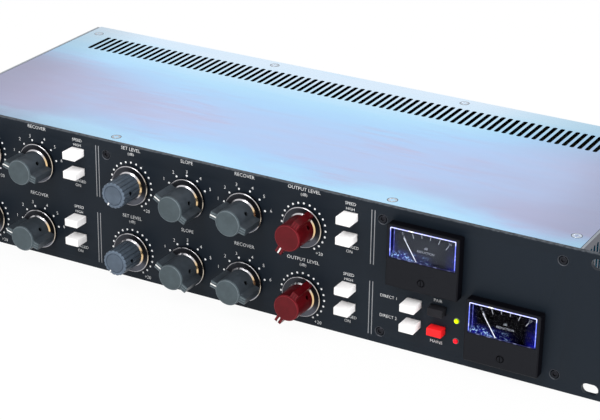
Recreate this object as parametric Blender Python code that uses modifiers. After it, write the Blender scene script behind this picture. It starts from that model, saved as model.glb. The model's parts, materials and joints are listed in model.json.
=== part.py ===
"""Two-unit rack compressor: front panel with turning knobs and push buttons, lit meters and a vented case.

The model is in metres with +Z up. X runs to the right as seen from the front, Y runs from the front to the
back, and the origin is the middle of the footprint on the surface that the case stands on. Inside the script,
places along Y are counted from the front face of the panel.
"""

import math

import bmesh
import bpy
from mathutils import Matrix, Vector

MM = 0.001

# Gaps between pieces that touch, and round pieces that turn or slide
SEAT_GAP = 0.3 * MM
RUN_GAP = 0.4 * MM
OVERLAP = 0.5 * MM

# Front panel, a two-unit plate for a 19 inch rack
PANEL_WIDTH = 482.6 * MM
PANEL_HEIGHT = 88.1 * MM
PANEL_THICK = 3.0 * MM
RACK_SLOT_SPAN_X = 465.1 * MM
RACK_SLOT_SPAN_Z = 76.2 * MM
RACK_SLOT_LENGTH = 10.0 * MM
RACK_SLOT_WIDTH = 6.5 * MM
RACK_SLOT_STEPS = 16
EAR_CLEARANCE = 0.5 * MM

# Case behind the panel
CASE_WIDTH = 441.0 * MM
CASE_HEIGHT = 87.0 * MM
CASE_DEPTH = 184.0 * MM
SHEET = 1.5 * MM
SIDE_THICK = 1.5 * MM
LEDGE_WIDTH = 14.0 * MM
LEDGE_THICK = 2.0 * MM
LEDGE_TAPER = 0.5 * MM
CHANNEL_WIDTH = 6.6 * MM
CHANNEL_DROP = 6.7 * MM
CHANNEL_INSET = 5.9 * MM
REAR_FLANGE = 12.0 * MM

# Vent slots, cut with one tool in the cover and in both side plates
VENT_LENGTH = 26.0 * MM
VENT_WIDTH = 2.9 * MM
VENT_PITCH = 5.05 * MM
VENT_STEPS = 8
COVER_VENTS = 80
COVER_VENT_REAR = 17.0 * MM
SIDE_VENTS = 22
SIDE_VENT_FRONT = 18.0 * MM
SIDE_VENT_DROP = 5.0 * MM

# Brackets that tie the panel to the cover and to the base plate
BRACKET_XS = (-88.7 * MM, 101.5 * MM)
BRACKET_WIDTH = 16.0 * MM
BRACKET_REACH = 14.0 * MM
BRACKET_DROP = 12.0 * MM
TAB_HEIGHT = 14.0 * MM

# Columns and rows of controls, the upper row being channel 1
LIMITER_X = -181.0 * MM
COMPRESSOR_X = -70.5 * MM
COLUMN_PITCH = 40.2 * MM
BUTTON_STEP = 30.5 * MM
UPPER_ROW_Z = 63.0 * MM
LOWER_ROW_Z = 18.0 * MM

# Knobs: heights are counted outwards from the panel
KNOB_GAP = 0.6 * MM
KNOB_HEIGHT = 20.2 * MM
SKIRT_RADIUS = 12.8 * MM
SKIRT_HEIGHT = 2.4 * MM
SKIRT_CHAMFER = 0.6 * MM
COLLAR_RADIUS = 9.4 * MM
COLLAR_HEIGHT = 1.2 * MM
BODY_RADIUS = 8.6 * MM
CAP_RADIUS = 8.3 * MM
CAP_CHAMFER = 0.5 * MM
FLUTE_COUNT = 18
FLUTE_DEPTH = 0.6 * MM
WING_REACH = 12.4 * MM
WING_WIDTH = 4.4 * MM
WING_DROP = 0.9 * MM
SPINDLE_RADIUS = 3.0 * MM
SPINDLE_SEAT = 5.0 * MM
SPINDLE_STEPS = 8
KNOB_STEPS = 18
POT_REST = -150.0
RELEASE_REST = -75.0
RATIO_REST = -60.0

# Push buttons
BUTTON_WIDTH = 9.4 * MM
BUTTON_HEIGHT = 4.9 * MM
BUTTON_PROUD = 9.5 * MM
BUTTON_TRAVEL = 4.0 * MM
BUTTON_TAIL = 3.0 * MM
BUTTON_ROUND = 0.5 * MM
STEM_SIZE = 3.0 * MM
STEM_LENGTH = 9.0 * MM
ATTACK_RISE = 13.4 * MM
IN_RISE = 0.6 * MM
BYPASS_X = 123.0 * MM
POWER_X = 138.7 * MM

# Boards behind the panel
BOARD_THICK = 1.6 * MM
BOARD_MARGIN = 13.0 * MM
SWITCH_BASE = 0.5 * MM
SWITCH_WIDTH = 9.0 * MM
SWITCH_HEIGHT = 7.5 * MM
POT_RADIUS = 8.0 * MM
ROTARY_RADIUS = 10.5 * MM
POT_LENGTH = 9.0 * MM
POT_STEPS = 8
PILLAR_RADIUS = 2.5 * MM
PILLAR_STEPS = 6

# Lamps
LAMP_X = 150.5 * MM
LINK_LAMP_Z = 27.2 * MM
POWER_LAMP_Z = 14.4 * MM
LAMP_RADIUS = 1.5 * MM
LAMP_PROUD = 1.6 * MM
LAMP_RIM = 0.5 * MM
LAMP_STEPS = 10

# Meters: X and Z of the middle of each bezel
METER_PLACES = ((130.3 * MM, 61.7 * MM), (181.1 * MM, 27.1 * MM))
BEZEL_WIDTH = 45.4 * MM
BEZEL_HEIGHT = 38.6 * MM
BEZEL_DEPTH = 7.0 * MM
BEZEL_ROUND = 0.6 * MM
BEZEL_WALL = 1.7 * MM
BEZEL_BACK = 1.0 * MM
BARREL_RADIUS = 17.6 * MM
BARREL_LENGTH = 25.0 * MM
BARREL_STEPS = 16
WINDOW_WIDTH = 41.4 * MM
WINDOW_HEIGHT = 19.4 * MM
WINDOW_RISE = 8.3 * MM
DIAL_THICK = 0.8 * MM
PIVOT_DROP = 9.9 * MM
PIVOT_RADIUS = 0.9 * MM
PIVOT_DEPTH = 2.0 * MM
PIVOT_STEPS = 10
NEEDLE_LENGTH = 25.0 * MM
NEEDLE_TAIL = 5.5 * MM
NEEDLE_WIDTH = 0.7 * MM
NEEDLE_THICK = 0.5 * MM
NEEDLE_HUB = 1.6 * MM
HUB_STEPS = 12
NEEDLE_REST = -32.0
ZERO_DROP = 12.9 * MM
ZERO_RADIUS = 1.9 * MM
ZERO_PROUD = 0.6 * MM
ZERO_SLOT = 0.7 * MM
ZERO_STEPS = 14

# Sockets on the rear panel
SOCKET_Z = 44.0 * MM
SOCKET_XS = (-180.0 * MM, -96.0 * MM)
SOCKET_PAIR_STEP = 42.0 * MM
SOCKET_FLANGE_WIDTH = 26.0 * MM
SOCKET_FLANGE_HEIGHT = 31.0 * MM
SOCKET_FLANGE_THICK = 2.0 * MM
SOCKET_RADIUS = 11.8 * MM
SOCKET_BORE = 9.3 * MM
SOCKET_DEPTH = 22.0 * MM
SOCKET_FLOOR = 3.0 * MM
SOCKET_STEPS = 16
INSERT_RADIUS = 7.8 * MM
PIN_CIRCLE = 4.8 * MM
PIN_RADIUS = 1.2 * MM
PIN_INSET = 3.0 * MM
PIN_FLOOR = 5.0 * MM
PIN_STEPS = 8
INLET_X = 175.0 * MM
INLET_WIDTH = 27.4 * MM
INLET_HEIGHT = 20.4 * MM
INLET_DEPTH = 24.0 * MM
INLET_FLANGE = 3.5 * MM
INLET_WALL = 1.6 * MM
INLET_RECESS = 16.0 * MM
BLADE_SIZE = (2.0 * MM, 4.0 * MM)
BLADE_SPREAD = 7.0 * MM
BLADE_RISE = 4.0 * MM
BLADE_INSET = 4.0 * MM

# Power supply and main board
TOROID_Y = 100.0 * MM
TOROID_LEDGE_GAP = 12.5 * MM
TOROID_RADIUS = 42.0 * MM
TOROID_HOLE = 12.0 * MM
TOROID_HEIGHT = 36.0 * MM
TOROID_ROUND = 7.0 * MM
TOROID_STEPS = 16
CLAMP_RADIUS = 26.0 * MM
CLAMP_DISH = 3.0 * MM
CLAMP_THICK = 1.5 * MM
CLAMP_STEPS = 12
BOLT_RADIUS = 3.0 * MM
BOLT_HEAD_RADIUS = 6.0 * MM
BOLT_HEAD_HEIGHT = 4.0 * MM
BOLT_STEPS = 12
BOLT_HEAD_STEPS = 6
MAIN_BOARD_LEDGE_GAP = 0.5 * MM
MAIN_BOARD_TOROID_GAP = 16.0 * MM
MAIN_BOARD_Y = (36.0 * MM, 156.0 * MM)
MAIN_BOARD_RISE = 7.0 * MM
LINE_TRANSFORMER = (30.0 * MM, 26.0 * MM, 28.0 * MM)
CAPACITOR_RADIUS = 7.0 * MM
CAPACITOR_HEIGHT = 30.0 * MM
CAPACITOR_STEPS = 8
CAPACITOR_COUNT = 6

# Places that follow from the sizes above
BEHIND_PANEL = PANEL_THICK + SEAT_GAP
CAP_REAR = PANEL_THICK + BUTTON_TAIL
SWITCH_FRONT = CAP_REAR + BUTTON_TRAVEL + 2 * SEAT_GAP
BOARD_FRONT = CAP_REAR + STEM_LENGTH + BUTTON_TRAVEL + RUN_GAP + SWITCH_BASE
ATTACK_ZS = (UPPER_ROW_Z + ATTACK_RISE, LOWER_ROW_Z + ATTACK_RISE)
IN_ZS = (UPPER_ROW_Z + IN_RISE, LOWER_ROW_Z + IN_RISE)
LIMITER_BUTTON_X = LIMITER_X + COLUMN_PITCH + BUTTON_STEP
COMPRESSOR_BUTTON_X = COMPRESSOR_X + 3 * COLUMN_PITCH + BUTTON_STEP
INNER_HALF = CASE_WIDTH / 2 - SIDE_THICK
LEDGE_HALF = INNER_HALF - LEDGE_WIDTH
TOROID_X = LEDGE_HALF - TOROID_LEDGE_GAP - TOROID_RADIUS
MAIN_BOARD_LEFT = MAIN_BOARD_LEDGE_GAP - LEDGE_HALF
MAIN_BOARD_RIGHT = TOROID_X - TOROID_RADIUS - MAIN_BOARD_TOROID_GAP
REAR_INSIDE = CASE_DEPTH - SHEET
COVER_UNDERSIDE = CASE_HEIGHT - SHEET
REAR_REACH = CASE_DEPTH + SEAT_GAP + SOCKET_FLANGE_THICK
ORIGIN_SHIFT = (KNOB_HEIGHT - REAR_REACH) / 2

ALONG_Y = Matrix.Rotation(-math.pi / 2, 4, "X")
UPRIGHT = Matrix.Identity(4)
OUTLINE_ALONG_Y = Matrix.Rotation(math.pi / 2, 4, "X")
OUTLINE_ALONG_X = Matrix(((0, 0, 1, 0), (1, 0, 0, 0), (0, 1, 0, 0), (0, 0, 0, 1)))

# Name, colour, roughness and metallic value of each finish
FINISHES = {
    "panel_paint": ((0.021, 0.027, 0.035), 0.45, 0.0),
    "bare_sheet": ((0.60, 0.66, 0.76), 0.32, 1.0),
    "grey_knob": ((0.055, 0.066, 0.074), 0.42, 0.0),
    "red_knob": ((0.16, 0.008, 0.012), 0.38, 0.0),
    "white_plastic": ((0.86, 0.85, 0.84), 0.35, 0.0),
    "black_plastic": ((0.012, 0.012, 0.014), 0.38, 0.0),
    "red_plastic": ((0.78, 0.02, 0.02), 0.32, 0.0),
    "clear_window": ((0.75, 0.80, 0.95), 0.05, 0.0),
    "dial_print": ((0.010, 0.012, 0.045), 0.5, 0.0),
    "needle_white": ((0.90, 0.90, 0.88), 0.4, 0.0),
    "link_lamp": ((0.72, 0.85, 0.02), 0.2, 0.0),
    "power_lamp": ((0.85, 0.02, 0.05), 0.2, 0.0),
    "socket_metal": ((0.10, 0.10, 0.11), 0.4, 1.0),
    "board_green": ((0.02, 0.09, 0.04), 0.5, 0.0),
    "winding_wrap": ((0.65, 0.42, 0.05), 0.55, 0.0),
    "zinc_steel": ((0.55, 0.56, 0.58), 0.4, 1.0),
}


class Shape:
    """Primitive solids gathered into one mesh."""

    def __init__(self):
        self.bm = bmesh.new()

    def block(self, low, high):
        """Adds a box between two corners."""
        low = Vector(low)
        high = Vector(high)
        size = Matrix.Diagonal((*(high - low), 1.0))
        bmesh.ops.create_cube(self.bm, size=1.0, matrix=Matrix.Translation((low + high) / 2) @ size)
        return self

    def post(self, start, length, radius, steps, turn=ALONG_Y, end_radius=None):
        """Adds a cylinder or cone that runs from start along Y, or upwards with turn=UPRIGHT."""
        middle = Matrix.Translation(start) @ turn @ Matrix.Translation((0, 0, length / 2))
        top = radius if end_radius is None else end_radius
        bmesh.ops.create_cone(
            self.bm, cap_ends=True, segments=steps, radius1=radius, radius2=top, depth=length, matrix=middle
        )
        return self

    def slot(self, centre, length, width, depth, turn, steps):
        """Adds a round-ended bar, long in its own X and running through in its own Z."""
        spin = Matrix.Rotation(math.pi / steps, 4, "Z")
        radius = width / 2 / math.cos(math.pi / steps)
        made = bmesh.ops.create_cone(
            self.bm, cap_ends=True, segments=steps, radius1=radius, radius2=radius, depth=depth, matrix=spin
        )
        for vert in made["verts"]:
            vert.co.x += math.copysign((length - width) / 2, vert.co.x)
        bmesh.ops.transform(self.bm, matrix=Matrix.Translation(centre) @ turn, verts=made["verts"])
        return self

    def split(self, x):
        """Runs an edge round the gathered solids where the plane at x crosses them."""
        everything = self.bm.verts[:] + self.bm.edges[:] + self.bm.faces[:]
        bmesh.ops.bisect_plane(self.bm, geom=everything, plane_co=(x, 0, 0), plane_no=(1, 0, 0))
        return self

    def mesh(self, name):
        """Returns the gathered solids as a mesh."""
        mesh = bpy.data.meshes.new(name)
        self.bm.to_mesh(mesh)
        self.bm.free()
        return mesh


class Workshop:
    """The collections, finishes and root empty that every piece is made with."""

    def __init__(self):
        self.parts = bpy.data.collections.new("rack_compressor")
        self.cutters = bpy.data.collections.new("cutters")
        for collection in (self.parts, self.cutters):
            bpy.context.scene.collection.children.link(collection)
        self.root = bpy.data.objects.new("rack_compressor_root", None)
        self.root.location = (0.0, ORIGIN_SHIFT, 0.0)
        self.parts.objects.link(self.root)
        self.finishes = {name: self.finish(name, *look) for name, look in FINISHES.items()}

    def finish(self, name, colour, roughness, metallic):
        """Returns a Principled material."""
        material = bpy.data.materials.new(name)
        material.use_nodes = True
        shader = material.node_tree.nodes["Principled BSDF"]
        shader.inputs["Base Color"].default_value = (*colour, 1.0)
        shader.inputs["Roughness"].default_value = roughness
        shader.inputs["Metallic"].default_value = metallic
        return material

    def part(self, name, mesh, finish, location=(0, 0, 0), rotation=(0, 0, 0)):
        """Adds a piece of the compressor, placed from the front face of the panel."""
        mesh.materials.append(self.finishes[finish])
        piece = bpy.data.objects.new(name, mesh)
        piece.location = location
        piece.rotation_euler = rotation
        piece.parent = self.root
        self.parts.objects.link(piece)
        return piece

    def tool(self, piece, mesh, operation):
        """Cuts a mesh out of a piece, or joins it on, in the piece's own axes."""
        tool = bpy.data.objects.new(mesh.name, mesh)
        tool.parent = piece
        tool.hide_render = True
        tool.display_type = "WIRE"
        self.cutters.objects.link(tool)
        boolean = piece.modifiers.new(mesh.name, "BOOLEAN")
        boolean.operation = operation
        boolean.object = tool

    def cut(self, piece, shape):
        """Cuts the gathered solids out of a piece."""
        self.tool(piece, shape.mesh(piece.name + "_cut"), "DIFFERENCE")

    def join(self, piece, shape):
        """Makes the gathered solids one body with a piece."""
        self.tool(piece, shape.mesh(piece.name + "_join"), "UNION")


def bevel(piece, width, segments=1):
    """Rounds a piece's edges."""
    rounding = piece.modifiers.new("rounding", "BEVEL")
    rounding.width = width
    rounding.segments = segments


def turned(piece, steps):
    """Turns a profile round its own Z axis into a closed solid."""
    screw = piece.modifiers.new("turning", "SCREW")
    screw.axis = "Z"
    screw.steps = steps
    screw.render_steps = steps
    screw.use_merge_vertices = True
    screw.merge_threshold = 0.01 * MM
    screw.use_smooth_shade = True


def profile_mesh(name, points, closed=False):
    """Returns a profile of radius and height points as a chain of edges in the XZ plane."""
    edges = [(index, index + 1) for index in range(len(points) - 1)]
    if closed:
        edges.append((len(points) - 1, 0))
    mesh = bpy.data.meshes.new(name)
    mesh.from_pydata([(radius, 0.0, height) for radius, height in points], edges, [])
    return mesh


def outline_mesh(name, points, depth, turn):
    """Returns a flat outline given a thickness, standing across X or Y as turn says."""
    curve = bpy.data.curves.new(name, "CURVE")
    curve.dimensions = "2D"
    curve.fill_mode = "BOTH"
    curve.extrude = depth / 2
    spline = curve.splines.new("POLY")
    spline.points.add(len(points) - 1)
    for point, (across, up) in zip(spline.points, points):
        point.co = (across, up, 0.0, 1.0)
    spline.use_cyclic_u = True
    drawing = bpy.data.objects.new(name, curve)
    bpy.context.scene.collection.objects.link(drawing)
    bpy.context.view_layer.update()
    mesh = bpy.data.meshes.new_from_object(drawing.evaluated_get(bpy.context.evaluated_depsgraph_get()))
    bpy.data.objects.remove(drawing)
    bm = bmesh.new()
    bm.from_mesh(mesh)
    bmesh.ops.remove_doubles(bm, verts=bm.verts, dist=0.001 * MM)
    bmesh.ops.dissolve_limit(bm, angle_limit=math.radians(1.0), verts=bm.verts, edges=bm.edges)
    bmesh.ops.transform(bm, matrix=turn, verts=bm.verts)
    bmesh.ops.recalc_face_normals(bm, faces=bm.faces)
    bm.to_mesh(mesh)
    bm.free()
    return mesh


def folded_sheet(workshop, name, finish, corners, folds):
    """Adds a sheet with flanges bent up from parts of its front and back edges.

    The sheet's outer face lies in its own XY plane between two corners, and its thickness and flanges go up.
    Each fold is the start and end along X, whether it is on the far edge, and the height of the flange.
    """
    (low_x, low_y), (high_x, high_y) = corners
    middle = SHEET / 2
    low_y += middle
    high_y -= middle
    bm = bmesh.new()
    size = Matrix.Diagonal(((high_x - low_x) / 2, (high_y - low_y) / 2, 1.0, 1.0))
    centre = Matrix.Translation(((low_x + high_x) / 2, (low_y + high_y) / 2, middle))
    bmesh.ops.create_grid(bm, x_segments=1, y_segments=1, size=1.0, matrix=centre @ size)
    for cut_x in sorted({end_x for fold in folds for end_x in fold[:2]}):
        everything = bm.verts[:] + bm.edges[:] + bm.faces[:]
        bmesh.ops.bisect_plane(bm, geom=everything, plane_co=(cut_x, 0, 0), plane_no=(1, 0, 0))
    for start, end, is_far, height in folds:
        edge_y = high_y if is_far else low_y
        bent = [edge for edge in bm.edges if on_fold(edge, start, end, edge_y)]
        grown = bmesh.ops.extrude_edge_only(bm, edges=bent)["geom"]
        tips = [item for item in grown if isinstance(item, bmesh.types.BMVert)]
        bmesh.ops.translate(bm, vec=(0, 0, height - middle), verts=tips)
    bmesh.ops.recalc_face_normals(bm, faces=bm.faces)
    mesh = bpy.data.meshes.new(name)
    bm.to_mesh(mesh)
    bm.free()
    sheet = workshop.part(name, mesh, finish)
    wall = sheet.modifiers.new("sheet", "SOLIDIFY")
    wall.thickness = SHEET
    wall.offset = 0.0
    wall.solidify_mode = "NON_MANIFOLD"
    wall.nonmanifold_thickness_mode = "CONSTRAINTS"
    return sheet


def on_fold(edge, start, end, edge_y):
    """Tells whether an edge lies along a fold line, between its ends."""
    tolerance = 0.001 * MM
    first, second = (vert.co for vert in edge.verts)
    if max(abs(first.y - edge_y), abs(second.y - edge_y), abs(first.z - second.z)) > tolerance:
        return False
    return min(first.x, second.x) > start - tolerance and max(first.x, second.x) < end + tolerance


def knob_columns():
    """Yields name, X, body style, finish and rest angle of each control in a row."""
    yield "limiter_threshold_knob", LIMITER_X, "fluted", "grey_knob", POT_REST
    yield "limiter_release_knob", LIMITER_X + COLUMN_PITCH, "winged", "grey_knob", RELEASE_REST
    yield "threshold_knob", COMPRESSOR_X, "fluted", "grey_knob", POT_REST
    yield "ratio_knob", COMPRESSOR_X + COLUMN_PITCH, "winged", "grey_knob", RATIO_REST
    yield "release_knob", COMPRESSOR_X + 2 * COLUMN_PITCH, "winged", "grey_knob", RELEASE_REST
    yield "gain_knob", COMPRESSOR_X + 3 * COLUMN_PITCH, "winged", "red_knob", POT_REST


def channel_buttons():
    """Yields name, X and Z of each push button that sits on the control board."""
    for channel, (attack_z, in_z) in enumerate(zip(ATTACK_ZS, IN_ZS), start=1):
        yield f"limiter_attack_button_{channel}", LIMITER_BUTTON_X, attack_z
        yield f"limiter_in_button_{channel}", LIMITER_BUTTON_X, in_z
        yield f"attack_button_{channel}", COMPRESSOR_BUTTON_X, attack_z
        yield f"in_button_{channel}", COMPRESSOR_BUTTON_X, in_z


def master_buttons():
    """Yields name, X, Z, finish and push-in at rest of each button that sits on the switch board."""
    upper, lower = ATTACK_ZS[1], IN_ZS[1]
    yield "bypass_button_1", BYPASS_X, upper, "white_plastic", 0.0
    yield "bypass_button_2", BYPASS_X, lower, "white_plastic", 0.0
    yield "link_button", POWER_X, upper, "black_plastic", BUTTON_TRAVEL
    yield "power_button", POWER_X, lower, "red_plastic", BUTTON_TRAVEL


def lamps():
    """Yields name, Z and finish of each lamp."""
    yield "link_lamp", LINK_LAMP_Z, "link_lamp"
    yield "power_lamp", POWER_LAMP_Z, "power_lamp"


def make_front_panel(workshop):
    """The panel plate with its rack slots and the openings that the controls and meters pass through.

    An edge just outside the case gives each rack ear faces of its own.
    """
    plate = Shape().block((-PANEL_WIDTH / 2, 0, 0), (PANEL_WIDTH / 2, PANEL_THICK, PANEL_HEIGHT))
    for side in (-1, 1):
        plate.split(side * (CASE_WIDTH / 2 + EAR_CLEARANCE))
    panel = workshop.part("front_panel", plate.mesh("front_panel"), "panel_paint")
    holes = Shape()
    through = PANEL_THICK + 2 * OVERLAP
    for side in (-1, 1):
        for level in (-1, 1):
            z = PANEL_HEIGHT / 2 + level * RACK_SLOT_SPAN_Z / 2
            place = (side * RACK_SLOT_SPAN_X / 2, PANEL_THICK / 2, z)
            holes.slot(place, RACK_SLOT_LENGTH, RACK_SLOT_WIDTH, through, OUTLINE_ALONG_Y, RACK_SLOT_STEPS)
    for name, x, style, finish, rest in knob_columns():
        for z in (UPPER_ROW_Z, LOWER_ROW_Z):
            holes.post((x, -OVERLAP, z), through, SPINDLE_RADIUS + 2 * RUN_GAP, SPINDLE_STEPS)
    places = [(x, z) for name, x, z in channel_buttons()]
    places += [(x, z) for name, x, z, finish, pushed in master_buttons()]
    half = (BUTTON_WIDTH / 2 + RUN_GAP, BUTTON_HEIGHT / 2 + RUN_GAP)
    for x, z in places:
        holes.block((x - half[0], -OVERLAP, z - half[1]), (x + half[0], PANEL_THICK + OVERLAP, z + half[1]))
    for name, z, finish in lamps():
        holes.post((LAMP_X, -OVERLAP, z), through, LAMP_RADIUS + SEAT_GAP, LAMP_STEPS)
    for x, z in METER_PLACES:
        holes.post((x, -OVERLAP, z), through, BARREL_RADIUS + SEAT_GAP, BARREL_STEPS)
    workshop.cut(panel, holes)


def make_side_plate(workshop, name, side):
    """An extruded side: a web with ledges for the cover and base and channels for the panel screws."""
    web_in = INNER_HALF
    ledge_in = LEDGE_HALF
    channel_out = INNER_HALF - CHANNEL_INSET + CHANNEL_WIDTH / 2
    channel_in = channel_out - CHANNEL_WIDTH
    top = COVER_UNDERSIDE - SEAT_GAP
    middle = CASE_HEIGHT / 2
    upper = [
        (web_in, CASE_HEIGHT),
        (web_in, top),
        (ledge_in, top),
        (ledge_in, top - LEDGE_THICK + LEDGE_TAPER),
        (channel_in, top - LEDGE_THICK),
        (channel_in, top - LEDGE_THICK - CHANNEL_DROP),
        (channel_out, top - LEDGE_THICK - CHANNEL_DROP),
        (channel_out, top - LEDGE_THICK - LEDGE_TAPER),
        (web_in, top - LEDGE_THICK - 2 * LEDGE_TAPER),
    ]
    lower = [(x, 2 * middle - z) for x, z in reversed(upper)]
    outline = [(CASE_WIDTH / 2, 0.0), (CASE_WIDTH / 2, CASE_HEIGHT)] + upper + lower
    length = REAR_INSIDE - SEAT_GAP - BEHIND_PANEL
    mesh = outline_mesh(name, [(side * x, z) for x, z in outline], length, OUTLINE_ALONG_Y)
    plate = workshop.part(name, mesh, "bare_sheet", (0, BEHIND_PANEL + length / 2, 0))
    vents = Shape()
    upright_slot = Matrix.Rotation(math.pi / 2, 4, "Y")
    web_middle = side * (CASE_WIDTH / 2 - SIDE_THICK / 2)
    for index in range(SIDE_VENTS):
        y = SIDE_VENT_FRONT + index * VENT_PITCH - plate.location.y
        z = CASE_HEIGHT - SIDE_VENT_DROP - VENT_LENGTH / 2
        through = SIDE_THICK + 2 * OVERLAP
        vents.slot((web_middle, y, z), VENT_LENGTH, VENT_WIDTH, through, upright_slot, VENT_STEPS)
    workshop.cut(plate, vents)


def make_base_plate(workshop):
    """The base sheet with two tabs bent up behind the lower edge of the panel."""
    half = INNER_HALF - SEAT_GAP
    corners = ((-half, BEHIND_PANEL), (half, REAR_INSIDE - SEAT_GAP))
    folds = [(x - BRACKET_WIDTH / 2, x + BRACKET_WIDTH / 2, False, TAB_HEIGHT) for x in BRACKET_XS]
    folded_sheet(workshop, "base_plate", "zinc_steel", corners, folds)


def make_rear_panel(workshop):
    """The rear sheet with flanges for the cover and the base, cut out for the sockets and the inlet."""
    half = CASE_WIDTH / 2
    flange_half = LEDGE_HALF - SEAT_GAP
    corners = ((-half, SHEET + SEAT_GAP), (half, COVER_UNDERSIDE - SEAT_GAP))
    folds = [(-flange_half, flange_half, is_far, REAR_FLANGE) for is_far in (False, True)]
    panel = folded_sheet(workshop, "rear_panel", "zinc_steel", corners, folds)
    panel.location = (0, CASE_DEPTH, 0)
    panel.rotation_euler = (math.pi / 2, 0, 0)
    holes = Shape()
    through = SHEET + 2 * OVERLAP
    for x, kind, channel in sockets():
        holes.post((x, SOCKET_Z, -OVERLAP), through, SOCKET_RADIUS + SEAT_GAP, SOCKET_STEPS, UPRIGHT)
    half_wide = INLET_WIDTH / 2 + SEAT_GAP
    half_high = INLET_HEIGHT / 2 + SEAT_GAP
    holes.block(
        (INLET_X - half_wide, SOCKET_Z - half_high, -OVERLAP),
        (INLET_X + half_wide, SOCKET_Z + half_high, SHEET + OVERLAP),
    )
    workshop.cut(panel, holes)


def make_top_cover(workshop):
    """The flat cover with its row of vent slots near the back."""
    half = INNER_HALF - SEAT_GAP
    sheet = Shape().block((-half, BEHIND_PANEL, COVER_UNDERSIDE), (half, CASE_DEPTH, CASE_HEIGHT))
    cover = workshop.part("top_cover", sheet.mesh("top_cover"), "bare_sheet")
    vents = Shape()
    lengthways = Matrix.Rotation(math.pi / 2, 4, "Z")
    y = CASE_DEPTH - COVER_VENT_REAR - VENT_LENGTH / 2
    for index in range(COVER_VENTS):
        x = (index - (COVER_VENTS - 1) / 2) * VENT_PITCH
        place = (x, y, COVER_UNDERSIDE + SHEET / 2)
        vents.slot(place, VENT_LENGTH, VENT_WIDTH, SHEET + 2 * OVERLAP, lengthways, VENT_STEPS)
    workshop.cut(cover, vents)


def make_cover_brackets(workshop):
    """Angle brackets behind the panel, which the cover is screwed down to."""
    top = COVER_UNDERSIDE - SEAT_GAP
    outline = [
        (BEHIND_PANEL, top),
        (BEHIND_PANEL, top - BRACKET_DROP),
        (BEHIND_PANEL + SHEET, top - BRACKET_DROP),
        (BEHIND_PANEL + SHEET, top - SHEET),
        (BEHIND_PANEL + BRACKET_REACH, top - SHEET),
        (BEHIND_PANEL + BRACKET_REACH, top),
    ]
    for name, x in zip(("left_cover_bracket", "right_cover_bracket"), BRACKET_XS):
        mesh = outline_mesh(name, outline, BRACKET_WIDTH, OUTLINE_ALONG_X)
        workshop.part(name, mesh, "zinc_steel", (x, 0, 0))


def make_knob(workshop, name, x, z, style, finish, rest):
    """A skirted knob on its spindle, with a fluted body or with two wings that point."""
    collar_top = SKIRT_HEIGHT + COLLAR_HEIGHT
    spindle_end = PANEL_THICK + (BOARD_FRONT - POT_LENGTH - PANEL_THICK) + SPINDLE_SEAT
    crown = [(0.0, collar_top + OVERLAP), (BODY_RADIUS - FLUTE_DEPTH - OVERLAP, collar_top + OVERLAP)]
    if style == "winged":
        crown = [
            (0.0, KNOB_HEIGHT),
            (CAP_RADIUS - CAP_CHAMFER, KNOB_HEIGHT),
            (CAP_RADIUS, KNOB_HEIGHT - CAP_CHAMFER),
        ]
    foot = [
        (BODY_RADIUS, collar_top),
        (COLLAR_RADIUS, SKIRT_HEIGHT),
        (SKIRT_RADIUS - SKIRT_CHAMFER, SKIRT_HEIGHT),
        (SKIRT_RADIUS, SKIRT_HEIGHT - SKIRT_CHAMFER),
        (SKIRT_RADIUS, KNOB_GAP),
        (0.0, KNOB_GAP),
    ]
    knob = workshop.part(
        name, profile_mesh(name, crown + foot), finish, (x, 0, z), (math.pi / 2, math.radians(rest), 0)
    )
    turned(knob, KNOB_STEPS)
    grip = fluted_grip(collar_top) if style == "fluted" else winged_grip()
    grip.post((0, 0, -spindle_end), spindle_end + KNOB_GAP + OVERLAP, SPINDLE_RADIUS, SPINDLE_STEPS, UPRIGHT)
    workshop.join(knob, grip)


def fluted_grip(collar_top):
    """Returns the fluted body: a drum whose every other edge is drawn in."""
    grip = Shape()
    start = collar_top - OVERLAP
    length = KNOB_HEIGHT - start
    grip.post((0, 0, start), length, BODY_RADIUS - OVERLAP / 2, 2 * FLUTE_COUNT, UPRIGHT, CAP_RADIUS)
    for vert in grip.bm.verts:
        flute = round(math.atan2(vert.co.x, vert.co.y) / math.pi * FLUTE_COUNT) % 2
        if flute:
            radius = vert.co.xy.length
            vert.co.xy *= (radius - FLUTE_DEPTH) / radius
    return grip


def winged_grip():
    """Returns the bar whose two ends stand out of the body as wings."""
    low = (-WING_WIDTH / 2, -WING_REACH, SKIRT_HEIGHT - OVERLAP)
    high = (WING_WIDTH / 2, WING_REACH, KNOB_HEIGHT - WING_DROP)
    return Shape().block(low, high)


def make_button(workshop, name, x, z, finish, pushed):
    """A push button: a rounded cap with the stem that works its switch."""
    half = (BUTTON_WIDTH / 2, BUTTON_HEIGHT / 2)
    cap = Shape().block((-half[0], -BUTTON_PROUD, -half[1]), (half[0], CAP_REAR, half[1]))
    button = workshop.part(name, cap.mesh(name), finish, (x, pushed, z))
    bevel(button, BUTTON_ROUND)
    reach = STEM_SIZE / 2
    stem = Shape().block((-reach, CAP_REAR - OVERLAP, -reach), (reach, CAP_REAR + STEM_LENGTH, reach))
    workshop.join(button, stem)


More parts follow.
